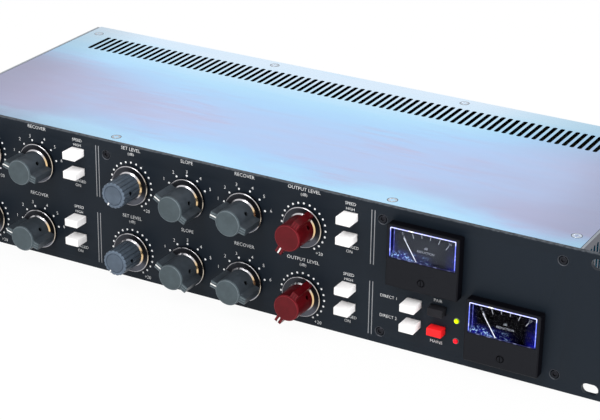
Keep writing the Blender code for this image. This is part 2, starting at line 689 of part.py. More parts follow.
def board_with_switches(workshop, name, corners, switches, pots, pillars):
    """A board that stands behind the panel on pillars and carries the switches and rotary controls."""
    (low_x, low_z), (high_x, high_z) = corners
    plate = Shape().block((low_x, BOARD_FRONT, low_z), (high_x, BOARD_FRONT + BOARD_THICK, high_z))
    board = workshop.part(name, plate.mesh(name), "board_green")
    bodies = Shape()
    bores = Shape()
    root = BOARD_FRONT + OVERLAP
    half = (SWITCH_WIDTH / 2, SWITCH_HEIGHT / 2)
    hollow = STEM_SIZE / 2 + RUN_GAP
    for x, z in switches:
        bodies.block((x - half[0], SWITCH_FRONT, z - half[1]), (x + half[0], root, z + half[1]))
        bores.block(
            (x - hollow, SWITCH_FRONT - OVERLAP, z - hollow),
            (x + hollow, BOARD_FRONT - SWITCH_BASE, z + hollow),
        )
    front = BOARD_FRONT - POT_LENGTH
    for x, z, radius in pots:
        bodies.post((x, front, z), root - front, radius, POT_STEPS)
        seat = SPINDLE_SEAT + RUN_GAP + OVERLAP
        bores.post((x, front - OVERLAP, z), seat, SPINDLE_RADIUS + 2 * RUN_GAP, SPINDLE_STEPS)
    for x, z in pillars:
        bodies.post((x, BEHIND_PANEL, z), root - BEHIND_PANEL, PILLAR_RADIUS, PILLAR_STEPS)
    workshop.join(board, bodies)
    workshop.cut(board, bores)


def make_control_board(workshop):
    """The board of both channels' potentiometers, rotary switches and push switches."""
    pots = []
    for name, x, style, finish, rest in knob_columns():
        radius = POT_RADIUS if rest == POT_REST else ROTARY_RADIUS
        pots += [(x, z, radius) for z in (UPPER_ROW_Z, LOWER_ROW_Z)]
    switches = [(x, z) for name, x, z in channel_buttons()]
    corners = (
        (LIMITER_X - BOARD_MARGIN, LOWER_ROW_Z - BOARD_MARGIN),
        (COMPRESSOR_BUTTON_X + BOARD_MARGIN, ATTACK_ZS[0] + SWITCH_HEIGHT / 2),
    )
    middle = (UPPER_ROW_Z + LOWER_ROW_Z) / 2
    between = COLUMN_PITCH / 2
    pillars = [(LIMITER_X + between, middle)]
    pillars += [(COMPRESSOR_X + between + 2 * step * between, middle) for step in (0, 1, 2)]
    board_with_switches(workshop, "control_board", corners, switches, pots, pillars)


def make_switch_board(workshop):
    """The small board of the bypass, link and power switches."""
    switches = [(x, z) for name, x, z, finish, pushed in master_buttons()]
    corners = (
        (BYPASS_X - SWITCH_WIDTH, POWER_LAMP_Z - LAMP_RADIUS * 3),
        (LAMP_X + LAMP_RADIUS * 3, ATTACK_ZS[1] + SWITCH_HEIGHT),
    )
    pillars = [((BYPASS_X + POWER_X) / 2, (ATTACK_ZS[1] + IN_ZS[1]) / 2)]
    pillars.append((LAMP_X, (LINK_LAMP_Z + POWER_LAMP_Z) / 2))
    board_with_switches(workshop, "switch_board", corners, switches, [], pillars)


def make_lamp(workshop, name, z, finish):
    """A round lamp: a domed lens through the panel on a spacer that stands on the switch board."""
    rim_radius = LAMP_RADIUS + LAMP_RIM + SEAT_GAP
    profile = [
        (0.0, LAMP_PROUD),
        (0.5 * LAMP_RADIUS, LAMP_PROUD - 0.134 * LAMP_RADIUS),
        (0.866 * LAMP_RADIUS, LAMP_PROUD - 0.5 * LAMP_RADIUS),
        (LAMP_RADIUS, LAMP_PROUD - LAMP_RADIUS),
        (LAMP_RADIUS, -BEHIND_PANEL),
        (rim_radius, -BEHIND_PANEL),
        (rim_radius, SEAT_GAP - BOARD_FRONT),
        (0.0, SEAT_GAP - BOARD_FRONT),
    ]
    lamp = workshop.part(name, profile_mesh(name, profile), finish, (LAMP_X, 0, z), (math.pi / 2, 0, 0))
    turned(lamp, LAMP_STEPS)


def make_meter(workshop, number, x, z):
    """A panel meter: case, window, dial, needle on its pivot and the zero screw."""
    name = f"meter_{number}"
    back = -SEAT_GAP
    front = back - BEZEL_DEPTH
    chamber_front = front + BEZEL_WALL
    chamber_back = back - BEZEL_BACK
    half = (BEZEL_WIDTH / 2, BEZEL_HEIGHT / 2)
    inner = (half[0] - BEZEL_WALL, half[1] - BEZEL_WALL)
    window = (WINDOW_WIDTH / 2, WINDOW_HEIGHT / 2)
    place = (x, 0, z)

    bezel = Shape().block((-half[0], front, -half[1]), (half[0], back, half[1]))
    case = workshop.part(name + "_case", bezel.mesh(name + "_case"), "black_plastic", place)
    bevel(case, BEZEL_ROUND)
    barrel = Shape().post((0, back - OVERLAP, 0), BARREL_LENGTH + OVERLAP, BARREL_RADIUS, BARREL_STEPS)
    workshop.join(case, barrel)
    chamber = Shape().block((-inner[0], chamber_front, -inner[1]), (inner[0], chamber_back, inner[1]))
    pivot_bore = PIVOT_RADIUS + RUN_GAP
    bore_depth = PIVOT_DEPTH + 2 * OVERLAP
    chamber.post((0, chamber_back - OVERLAP, -PIVOT_DROP), bore_depth, pivot_bore, PIVOT_STEPS)
    wall_through = BEZEL_WALL + 2 * OVERLAP
    chamber.post((0, front - OVERLAP, -ZERO_DROP), wall_through, ZERO_RADIUS + RUN_GAP, ZERO_STEPS)
    chamber.block(
        (-window[0], front - OVERLAP, WINDOW_RISE - window[1]),
        (window[0], chamber_front + OVERLAP, WINDOW_RISE + window[1]),
    )
    workshop.cut(case, chamber)
    case.modifiers[-1].use_self = True

    pane = Shape().block(
        (SEAT_GAP - window[0], front, WINDOW_RISE + SEAT_GAP - window[1]),
        (window[0] - SEAT_GAP, chamber_front, WINDOW_RISE - SEAT_GAP + window[1]),
    )
    workshop.part(name + "_window", pane.mesh(name + "_window"), "clear_window", place)

    dial_back = chamber_back - SEAT_GAP
    edge = (inner[0] - SEAT_GAP, inner[1] - SEAT_GAP)
    plate = Shape().block((-edge[0], dial_back - DIAL_THICK, -edge[1]), (edge[0], dial_back, edge[1]))
    dial = workshop.part(name + "_dial", plate.mesh(name + "_dial"), "dial_print", place)
    dial_through = DIAL_THICK + 2 * OVERLAP
    hole_start = (0, dial_back - DIAL_THICK - OVERLAP, -PIVOT_DROP)
    workshop.cut(dial, Shape().post(hole_start, dial_through, pivot_bore, PIVOT_STEPS))

    hub_front = chamber_front + 2 * RUN_GAP
    hub_back = dial_back - DIAL_THICK - 2 * RUN_GAP
    blade = (hub_front + hub_back - NEEDLE_THICK) / 2
    hub = Shape().post((0, hub_front, 0), hub_back - hub_front, NEEDLE_HUB, HUB_STEPS)
    needle = workshop.part(
        name + "_needle",
        hub.mesh(name + "_needle"),
        "needle_white",
        (x, 0, z - PIVOT_DROP),
        (0, math.radians(NEEDLE_REST), 0),
    )
    arm = Shape().block(
        (-NEEDLE_WIDTH / 2, blade, -NEEDLE_TAIL), (NEEDLE_WIDTH / 2, blade + NEEDLE_THICK, NEEDLE_LENGTH)
    )
    workshop.join(needle, arm)
    pivot_end = chamber_back + PIVOT_DEPTH
    pivot_start = hub_back - OVERLAP
    pivot = Shape().post((0, pivot_start, 0), pivot_end - pivot_start, PIVOT_RADIUS, PIVOT_STEPS)
    workshop.join(needle, pivot)

    head = Shape().post((0, front - ZERO_PROUD, 0), BEZEL_WALL + ZERO_PROUD, ZERO_RADIUS, ZERO_STEPS)
    screw = workshop.part(
        name + "_zero_screw", head.mesh(name + "_zero_screw"), "black_plastic", (x, 0, z - ZERO_DROP)
    )
    slot = Shape().block(
        (-ZERO_SLOT / 2, front - ZERO_PROUD - OVERLAP, -ZERO_RADIUS - OVERLAP),
        (ZERO_SLOT / 2, front, ZERO_RADIUS + OVERLAP),
    )
    workshop.cut(screw, slot)


def sockets():
    """Yields X, kind and channel number of each signal socket."""
    for channel, x in enumerate(SOCKET_XS, start=1):
        yield x, "output", channel
        yield x + SOCKET_PAIR_STEP, "input", channel


def make_socket(workshop, x, kind, channel):
    """A signal socket: a flanged shell with its bore, and the insert that holds the contacts."""
    name = f"{kind}_socket_{channel}"
    place = (x, CASE_DEPTH, SOCKET_Z)
    face = SEAT_GAP + SOCKET_FLANGE_THICK
    floor = face - SOCKET_DEPTH + SOCKET_FLOOR
    half = (SOCKET_FLANGE_WIDTH / 2, SOCKET_FLANGE_HEIGHT / 2)
    flange = Shape().block((-half[0], SEAT_GAP, -half[1]), (half[0], face, half[1]))
    shell = workshop.part(name, flange.mesh(name), "socket_metal", place)
    tube = Shape().post((0, face - SOCKET_DEPTH, 0), SOCKET_DEPTH - OVERLAP, SOCKET_RADIUS, SOCKET_STEPS)
    workshop.join(shell, tube)
    workshop.cut(shell, Shape().post((0, floor, 0), face - floor + OVERLAP, SOCKET_BORE, SOCKET_STEPS))

    seat = floor + SEAT_GAP
    contacts = Shape()
    for index in range(3):
        angle = math.radians(90 + 120 * index)
        across, up = PIN_CIRCLE * math.cos(angle), PIN_CIRCLE * math.sin(angle)
        if kind == "output":
            start = seat + PIN_FLOOR - OVERLAP
            contacts.post((across, start, up), face - PIN_INSET - start, PIN_RADIUS, PIN_STEPS)
        else:
            start = seat + PIN_FLOOR
            contacts.post((across, start, up), face - start + OVERLAP, PIN_RADIUS, PIN_STEPS)
    radius = SOCKET_BORE - SEAT_GAP if kind == "output" else INSERT_RADIUS
    length = PIN_FLOOR if kind == "output" else face - SEAT_GAP - seat
    core = Shape().post((0, seat, 0), length, radius, SOCKET_STEPS)
    insert = workshop.part(name + "_insert", core.mesh(name + "_insert"), "black_plastic", place)
    if kind == "output":
        workshop.join(insert, contacts)
    else:
        workshop.cut(insert, contacts)


def make_mains_inlet(workshop):
    """The mains inlet: a flanged box with a recess and three flat blades."""
    place = (INLET_X, CASE_DEPTH, SOCKET_Z)
    face = SEAT_GAP + SOCKET_FLANGE_THICK
    half = (INLET_WIDTH / 2, INLET_HEIGHT / 2)
    body = Shape().block((-half[0], face - INLET_DEPTH, -half[1]), (half[0], face, half[1]))
    inlet = workshop.part("mains_inlet", body.mesh("mains_inlet"), "black_plastic", place)
    rim = (half[0] + INLET_FLANGE, half[1] + INLET_FLANGE)
    workshop.join(inlet, Shape().block((-rim[0], SEAT_GAP, -rim[1]), (rim[0], face, rim[1])))
    inner = (half[0] - INLET_WALL, half[1] - INLET_WALL)
    floor = face - INLET_RECESS
    workshop.cut(inlet, Shape().block((-inner[0], floor, -inner[1]), (inner[0], face + OVERLAP, inner[1])))
    blades = Shape()
    reach = (BLADE_SIZE[0] / 2, BLADE_SIZE[1] / 2)
    for across, up in ((0.0, BLADE_RISE), (-BLADE_SPREAD, 0.0), (BLADE_SPREAD, 0.0)):
        blades.block(
            (across - reach[0], floor - OVERLAP, up - reach[1]),
            (across + reach[0], face - BLADE_INSET, up + reach[1]),
        )
    workshop.join(inlet, blades)


def make_power_transformer(workshop):
    """The ring transformer with the dished clamp and the bolt that hold it to the base plate."""
    x, y = TOROID_X, TOROID_Y
    rest = SHEET + SEAT_GAP
    top = TOROID_HEIGHT
    edge = TOROID_ROUND
    round_off = edge * (1 - math.sqrt(0.5))
    outer = [
        (TOROID_HOLE + edge, top),
        (TOROID_RADIUS - edge, top),
        (TOROID_RADIUS - round_off, top - round_off),
        (TOROID_RADIUS, top - edge),
        (TOROID_RADIUS, edge),
        (TOROID_RADIUS - round_off, round_off),
        (TOROID_RADIUS - edge, 0.0),
        (TOROID_HOLE + edge, 0.0),
        (TOROID_HOLE, edge),
        (TOROID_HOLE, top - edge),
    ]
    mesh = profile_mesh("power_transformer", outer, closed=True)
    turned(workshop.part("power_transformer", mesh, "winding_wrap", (x, y, rest)), TOROID_STEPS)

    seat = rest + top + SEAT_GAP
    bolt_hole = BOLT_RADIUS + SEAT_GAP
    dish = [
        (bolt_hole, CLAMP_THICK),
        (TOROID_HOLE, CLAMP_THICK),
        (TOROID_HOLE + edge, CLAMP_THICK + CLAMP_DISH),
        (CLAMP_RADIUS, CLAMP_THICK + CLAMP_DISH),
        (CLAMP_RADIUS, CLAMP_DISH),
        (TOROID_HOLE + edge, CLAMP_DISH),
        (TOROID_HOLE, 0.0),
        (bolt_hole, 0.0),
    ]
    mesh = profile_mesh("transformer_clamp", dish, closed=True)
    turned(workshop.part("transformer_clamp", mesh, "zinc_steel", (x, y, seat - CLAMP_DISH)), CLAMP_STEPS)

    shank = seat - CLAMP_DISH + CLAMP_THICK + SEAT_GAP - rest
    bolt = Shape().post((0, 0, 0), shank + OVERLAP, BOLT_RADIUS, BOLT_STEPS, UPRIGHT)
    piece = workshop.part("transformer_bolt", bolt.mesh("transformer_bolt"), "zinc_steel", (x, y, rest))
    head = Shape().post((0, 0, shank), BOLT_HEAD_HEIGHT, BOLT_HEAD_RADIUS, BOLT_HEAD_STEPS, UPRIGHT)
    workshop.join(piece, head)


def make_main_board(workshop):
    """The main board on its pillars, with line transformers and a row of capacitors."""
    foot = SHEET + SEAT_GAP
    low = foot + MAIN_BOARD_RISE
    top = low + BOARD_THICK
    left, right = MAIN_BOARD_LEFT, MAIN_BOARD_RIGHT
    near, far = MAIN_BOARD_Y
    plate = Shape().block((left, near, low), (right, far, top))
    board = workshop.part("main_board", plate.mesh("main_board"), "board_green")
    carried = Shape()
    inset = 3 * PILLAR_RADIUS
    for x in (left + inset, (left + right) / 2, right - inset):
        for y in (near + inset, far - inset):
            carried.post((x, y, foot), MAIN_BOARD_RISE + OVERLAP, PILLAR_RADIUS, PILLAR_STEPS, UPRIGHT)
    wide, deep, high = LINE_TRANSFORMER
    step = (right - left) / 4
    for index in range(4):
        x = left + (index + 0.5) * step
        y = far - 2 * inset - deep / 2
        carried.block((x - wide / 2, y - deep / 2, top - OVERLAP), (x + wide / 2, y + deep / 2, top + high))
    pitch = (right - left) / CAPACITOR_COUNT
    for index in range(CAPACITOR_COUNT):
        x = left + (index + 0.5) * pitch
        y = near + 2 * inset + CAPACITOR_RADIUS
        height = CAPACITOR_HEIGHT + OVERLAP
        carried.post((x, y, top - OVERLAP), height, CAPACITOR_RADIUS, CAPACITOR_STEPS, UPRIGHT)
    workshop.join(board, carried)


def main():
    """Clears the scene and builds every piece of the compressor."""
    for old in list(bpy.data.objects):
        bpy.data.objects.remove(old)
    workshop = Workshop()
    make_front_panel(workshop)
    make_side_plate(workshop, "left_side_plate", -1)
    make_side_plate(workshop, "right_side_plate", 1)
    make_base_plate(workshop)
    make_rear_panel(workshop)
    make_top_cover(workshop)
    make_cover_brackets(workshop)
    make_control_board(workshop)
    make_switch_board(workshop)
    make_main_board(workshop)
    make_power_transformer(workshop)
    make_mains_inlet(workshop)
    for x, kind, channel in sockets():
        make_socket(workshop, x, kind, channel)
    for channel, z in enumerate((UPPER_ROW_Z, LOWER_ROW_Z), start=1):
        for name, x, style, finish, rest in knob_columns():
            make_knob(workshop, f"{name}_{channel}", x, z, style, finish, rest)
    for name, x, z in channel_buttons():
        make_button(workshop, name, x, z, "white_plastic", 0.0)
    for name, x, z, finish, pushed in master_buttons():
        make_button(workshop, name, x, z, finish, pushed)
    for name, z, finish in lamps():
        make_lamp(workshop, name, z, finish)
    for number, (x, z) in enumerate(METER_PLACES, start=1):
        make_meter(workshop, number, x, z)
    bpy.context.view_layer.update()


main()
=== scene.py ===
"""Dresses a packed two-unit rack compressor: its panel, knobs, buttons, dial meters, cover and sockets.

A surface is worked out in millimetres along its own across, up and out directions, and is scaled to
metres when it is placed. In the frame, X runs along the panel, Y from the panel to the sockets and Z up.
"""

import json
import logging
import math
from collections.abc import Callable, Sequence
from dataclasses import dataclass
from enum import Enum
from typing import Optional, Union

import bmesh
import bpy
import numpy as np
from mathutils import Matrix, Vector


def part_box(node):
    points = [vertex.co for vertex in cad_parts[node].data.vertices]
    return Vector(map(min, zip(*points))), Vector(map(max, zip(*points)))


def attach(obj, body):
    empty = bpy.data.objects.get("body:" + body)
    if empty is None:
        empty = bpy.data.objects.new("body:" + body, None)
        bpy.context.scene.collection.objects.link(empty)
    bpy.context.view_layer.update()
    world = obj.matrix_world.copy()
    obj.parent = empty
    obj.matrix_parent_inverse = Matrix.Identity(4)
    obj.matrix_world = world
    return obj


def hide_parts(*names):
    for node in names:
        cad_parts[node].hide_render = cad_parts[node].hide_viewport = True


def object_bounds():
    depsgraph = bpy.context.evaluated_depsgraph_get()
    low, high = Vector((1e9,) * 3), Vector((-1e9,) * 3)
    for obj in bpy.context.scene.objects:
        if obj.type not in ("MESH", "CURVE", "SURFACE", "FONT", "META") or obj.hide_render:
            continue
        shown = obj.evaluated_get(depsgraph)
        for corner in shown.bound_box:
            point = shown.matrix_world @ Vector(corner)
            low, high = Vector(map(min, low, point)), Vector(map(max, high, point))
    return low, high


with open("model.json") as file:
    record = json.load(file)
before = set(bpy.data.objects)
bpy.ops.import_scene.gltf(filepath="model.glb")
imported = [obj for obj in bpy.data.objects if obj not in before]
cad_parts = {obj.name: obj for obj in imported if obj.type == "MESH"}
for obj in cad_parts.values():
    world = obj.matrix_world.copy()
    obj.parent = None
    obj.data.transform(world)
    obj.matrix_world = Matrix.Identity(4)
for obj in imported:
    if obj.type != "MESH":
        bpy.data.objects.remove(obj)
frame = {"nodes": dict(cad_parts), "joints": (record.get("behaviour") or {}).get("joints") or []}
CAD_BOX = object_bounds()

logging.basicConfig(level=logging.INFO, format="%(message)s")
LOG = logging.getLogger("rack_compressor")

Colour = tuple[float, float, float]
Point = tuple[float, float, float]
Pair = tuple[float, float]
Profile = tuple[Pair, ...]

MM = 0.001
FULL_TURN = 2.0 * math.pi
ROOT_BODY = "chassis"
JOINT_PLACES = {joint["child"]: joint["pos_m"] for joint in frame["joints"] if "pos_m" in joint}
PANEL_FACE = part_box("front_panel")[0].y
COVER_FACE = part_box("top_cover")[1].z
PRINT_HEIGHT = 0.03
MERGE_DISTANCE = 0.0005 * MM
FLAT_ANGLE = math.radians(0.4)
BEVEL_ANGLE = math.radians(40.0)
METAL_GRAIN_DEPTH = 0.01
NOISE_SPAN = (0.3, 0.7)
WHITE = (1.0, 1.0, 1.0)
BLACK = (0.0, 0.0, 0.0)
ORIGIN = (0.0, 0.0, 0.0)
PANEL_ORIGIN = (0.0, PANEL_FACE, 0.0)


# Shapes

class Facing(Enum):
    """Which way a piece looks: the frame's directions of its across, up and out."""

    FRONT = ((1, 0, 0), (0, 0, 1), (0, -1, 0))
    BACK = ((-1, 0, 0), (0, 0, 1), (0, 1, 0))
    TOP = ((1, 0, 0), (0, 1, 0), (0, 0, 1))
    BOTTOM = ((1, 0, 0), (0, -1, 0), (0, 0, -1))


@dataclass(frozen=True)
class Surface:
    """A mesh as arrays: points, and faces of four corners."""

    points: np.ndarray
    faces: np.ndarray

    @classmethod
    def over_grid(cls, points: np.ndarray) -> "Surface":
        """Joins a grid of points whose rows are closed loops.

        Face (i, j) has the corners (i, j), (i, j + 1), (i + 1, j + 1) and (i + 1, j), and the last
        column meets the first.

        Args:
            points: The grid, of shape (rows, columns, 3).

        Returns:
            The surface over the grid.
        """
        rows, columns = points.shape[:2]
        index = np.arange(rows * columns).reshape(rows, columns)
        ahead = np.roll(index, -1, axis=1)
        corners = np.stack([index[:-1], ahead[:-1], ahead[1:], index[1:]], axis=-1)
        return cls(points.reshape(-1, 3), corners.reshape(-1, 4))

    @classmethod
    def joined(cls, surfaces: Sequence["Surface"]) -> "Surface":
        """Puts several surfaces side by side into one."""
        starts = np.cumsum([0] + [len(surface.points) for surface in surfaces[:-1]])
        points = np.concatenate([surface.points for surface in surfaces])
        faces = np.concatenate([surface.faces + start for surface, start in zip(surfaces, starts)])
        return cls(points, faces)

    def repeated(self, places: Sequence[Point]) -> "Surface":
        """Copies the surface to several places: copy k is moved across, up and out by place k."""
        moves = np.array(places, float)
        points = (self.points[None] + moves[:, None]).reshape(-1, 3)
        starts = len(self.points) * np.arange(len(moves))
        faces = (self.faces[None] + starts[:, None, None]).reshape(-1, 4)
        return Surface(points, faces)

    def turned(self, degrees: float) -> "Surface":
        """Turns the surface clockwise, seen from outside: (a cos t + u sin t, u cos t - a sin t, o)."""
        angle = math.radians(degrees)
        across, up, out = self.points.T
        new_across = across * math.cos(angle) + up * math.sin(angle)
        new_up = up * math.cos(angle) - across * math.sin(angle)
        return Surface(np.stack([new_across, new_up, out], axis=1), self.faces)

    def placed(self, centre: Sequence[float], facing: Facing = Facing.FRONT) -> "Surface":
        """Scales to metres and lays the surface down: centre + a A + u U + o O.

        Args:
            centre: Where the surface's own zero goes, in metres.
            facing: The frame's directions A, U and O.

        Returns:
            The surface in the frame.
        """
        axes = np.array(facing.value, float)
        return Surface(self.points @ axes * MM + np.array(centre, float), self.faces)


def loft(outlines: Sequence[np.ndarray], heights: Sequence[float], capped: bool = True) -> Surface:
    """Stacks outlines: point (i, j) is point j of outline i, at height i.

    Args:
        outlines: Closed outlines of equally many points.
        heights: The height out of each.
        capped: Whether the first and last shrink to their middles, which closes the ends.

    Returns:
        The stacked surface.
    """
    levels = np.column_stack([heights]).astype(float)
    stack = np.array(outlines, float)
    if capped:
        middles = np.broadcast_to(stack[[0, -1]].mean(axis=1, keepdims=True), (2,) + stack.shape[1:])
        stack = np.concatenate([middles[:1], stack, middles[1:]])
        levels = np.concatenate([levels[:1], levels, levels[-1:]])
    raised = np.broadcast_to(levels[:, None], stack.shape[:2] + (1,))
    return Surface.over_grid(np.concatenate([stack, raised], axis=-1))


def revolve(profile: Sequence[Pair], steps: int = 48) -> Surface:
    """Turns a profile about the out direction: point (i, j) is (r_i cos t_j, r_i sin t_j, h_i).

    Args:
        profile: The radius r and height h of each level.
        steps: How many angles t there are in the turn.

    Returns:
        The turned surface, closed where the profile meets the axis or itself.
    """
    radii = [radius for radius, _ in profile]
    unit = polar(even_angles(steps), 1.0)
    return loft([unit * radius for radius in radii], [height for _, height in profile], capped=False)


def carry(outline: np.ndarray, profile: Sequence[Pair], capped: bool = True) -> Surface:
    """Carries a profile round an outline: level i is the outline moved inwards by inset i.

    Args:
        outline: The closed outline, anticlockwise.
        profile: The inset and height of each level.
        capped: Whether the two ends are closed.

    Returns:
        The surface that the profile leaves.
    """
    outlines = [moved_in(outline, inset) for inset, _ in profile]
    return loft(outlines, [height for _, height in profile], capped)


def moved_in(outline: np.ndarray, inset: float) -> np.ndarray:
    """Moves an outline inwards: each point goes along its corner's mitre, (m + n) / (1 + m . n).

    Args:
        outline: The closed outline, anticlockwise.
        inset: How far its edges move.

    Returns:
        The smaller outline.
    """
    edges = np.roll(outline, -1, axis=0) - outline
    lengths = np.linalg.norm(edges, axis=1, keepdims=True)
    normals = np.stack([-edges[:, 1], edges[:, 0]], axis=1) / np.maximum(lengths, 1e-9)
    before = np.roll(normals, 1, axis=0)
    mitre = (normals + before) / (1.0 + (normals * before).sum(axis=1, keepdims=True))
    return outline + inset * mitre


def even_angles(steps: int, extra: Sequence[float] = ()) -> np.ndarray:
    """Gives the even angles of a turn, with some exact ones among them.

    Args:
        steps: How many even angles there are.
        extra: Further angles, such as a shape's corners.

    Returns:
        All the angles, in order.
    """
    even = np.arange(steps) * FULL_TURN / steps
    return np.unique(np.concatenate([even, np.mod(extra, FULL_TURN)]).round(9))


def polar(angles: np.ndarray, radius: Union[float, np.ndarray]) -> np.ndarray:
    """Gives the points (r cos t, r sin t) of a polar outline."""
    return np.stack([radius * np.cos(angles), radius * np.sin(angles)], axis=1)


def bar_reach(angles: np.ndarray, length: float, width: float) -> np.ndarray:
    """Gives how far a bar along up reaches: the smaller of l / |sin t| and w / |cos t|, both halved."""
    along = np.maximum(np.abs(np.sin(angles)), 1e-9)
    aside = np.maximum(np.abs(np.cos(angles)), 1e-9)
    return 0.5 * np.minimum(length / along, width / aside)


def hexagon_reach(angles: np.ndarray, across_flats: float) -> np.ndarray:
    """Gives how far a hexagon reaches: half its width over the cosine to the nearest flat."""
    to_flat = np.mod(angles + math.pi / 6, math.pi / 3) - math.pi / 6
    return 0.5 * across_flats / np.cos(to_flat)


def cross_reach(angles: np.ndarray, length: float, width: float) -> np.ndarray:
    """Gives how far a cross reaches: the larger of its two bars."""
    quarter = angles + math.pi / 2
    return np.maximum(bar_reach(angles, length, width), bar_reach(quarter, length, width))


def rounded_rectangle(width: float, height: float, radius: float, steps: int = 5) -> np.ndarray:
    """Goes round a rectangle with quarter-circle corners: corner centre + r (cos t, sin t).

    Args:
        width: Its size across.
        height: Its size up.
        radius: The corners' radius r.
        steps: How many points each corner has.

    Returns:
        The closed outline, anticlockwise.
    """
    quarter = np.linspace(0.0, math.pi / 2, steps)
    angles = quarter[None] + np.arange(4)[:, None] * math.pi / 2
    signs = np.array([[1, 1], [-1, 1], [-1, -1], [1, -1]], float)
    centres = signs * np.array([width / 2 - radius, height / 2 - radius])
    points = centres[:, None] + radius * np.stack([np.cos(angles), np.sin(angles)], axis=-1)
    return points.reshape(-1, 2)


# Nodes of the materials

def on_values(operation: str, swapped: bool = False) -> Callable[..., "Wire"]:
    """Makes an operator that adds a Math node on a wire and another value.

    Args:
        operation: The Math node's operation.
        swapped: Whether the other value comes first.

    Returns:
        The operator.
    """
    def operate(wire: "Wire", other: "Term" = 0.0) -> "Wire":
        """Adds the node."""
        values = (other, wire) if swapped else (wire, other)
        return wire.recipe.maths(operation, *values)

    return operate


class Wire:
    """A node's output, which sums and products take like a number."""

    def __init__(self, recipe: "Recipe", socket: bpy.types.NodeSocket) -> None:
        """Keeps the socket and the recipe that its nodes go into."""
        self.recipe = recipe
        self.socket = socket

    __add__ = __radd__ = on_values("ADD")
    __sub__ = on_values("SUBTRACT")
    __rsub__ = on_values("SUBTRACT", swapped=True)
    __mul__ = __rmul__ = on_values("MULTIPLY")
    __truediv__ = on_values("DIVIDE")
    __abs__ = on_values("ABSOLUTE")


Term = Union[Wire, float]


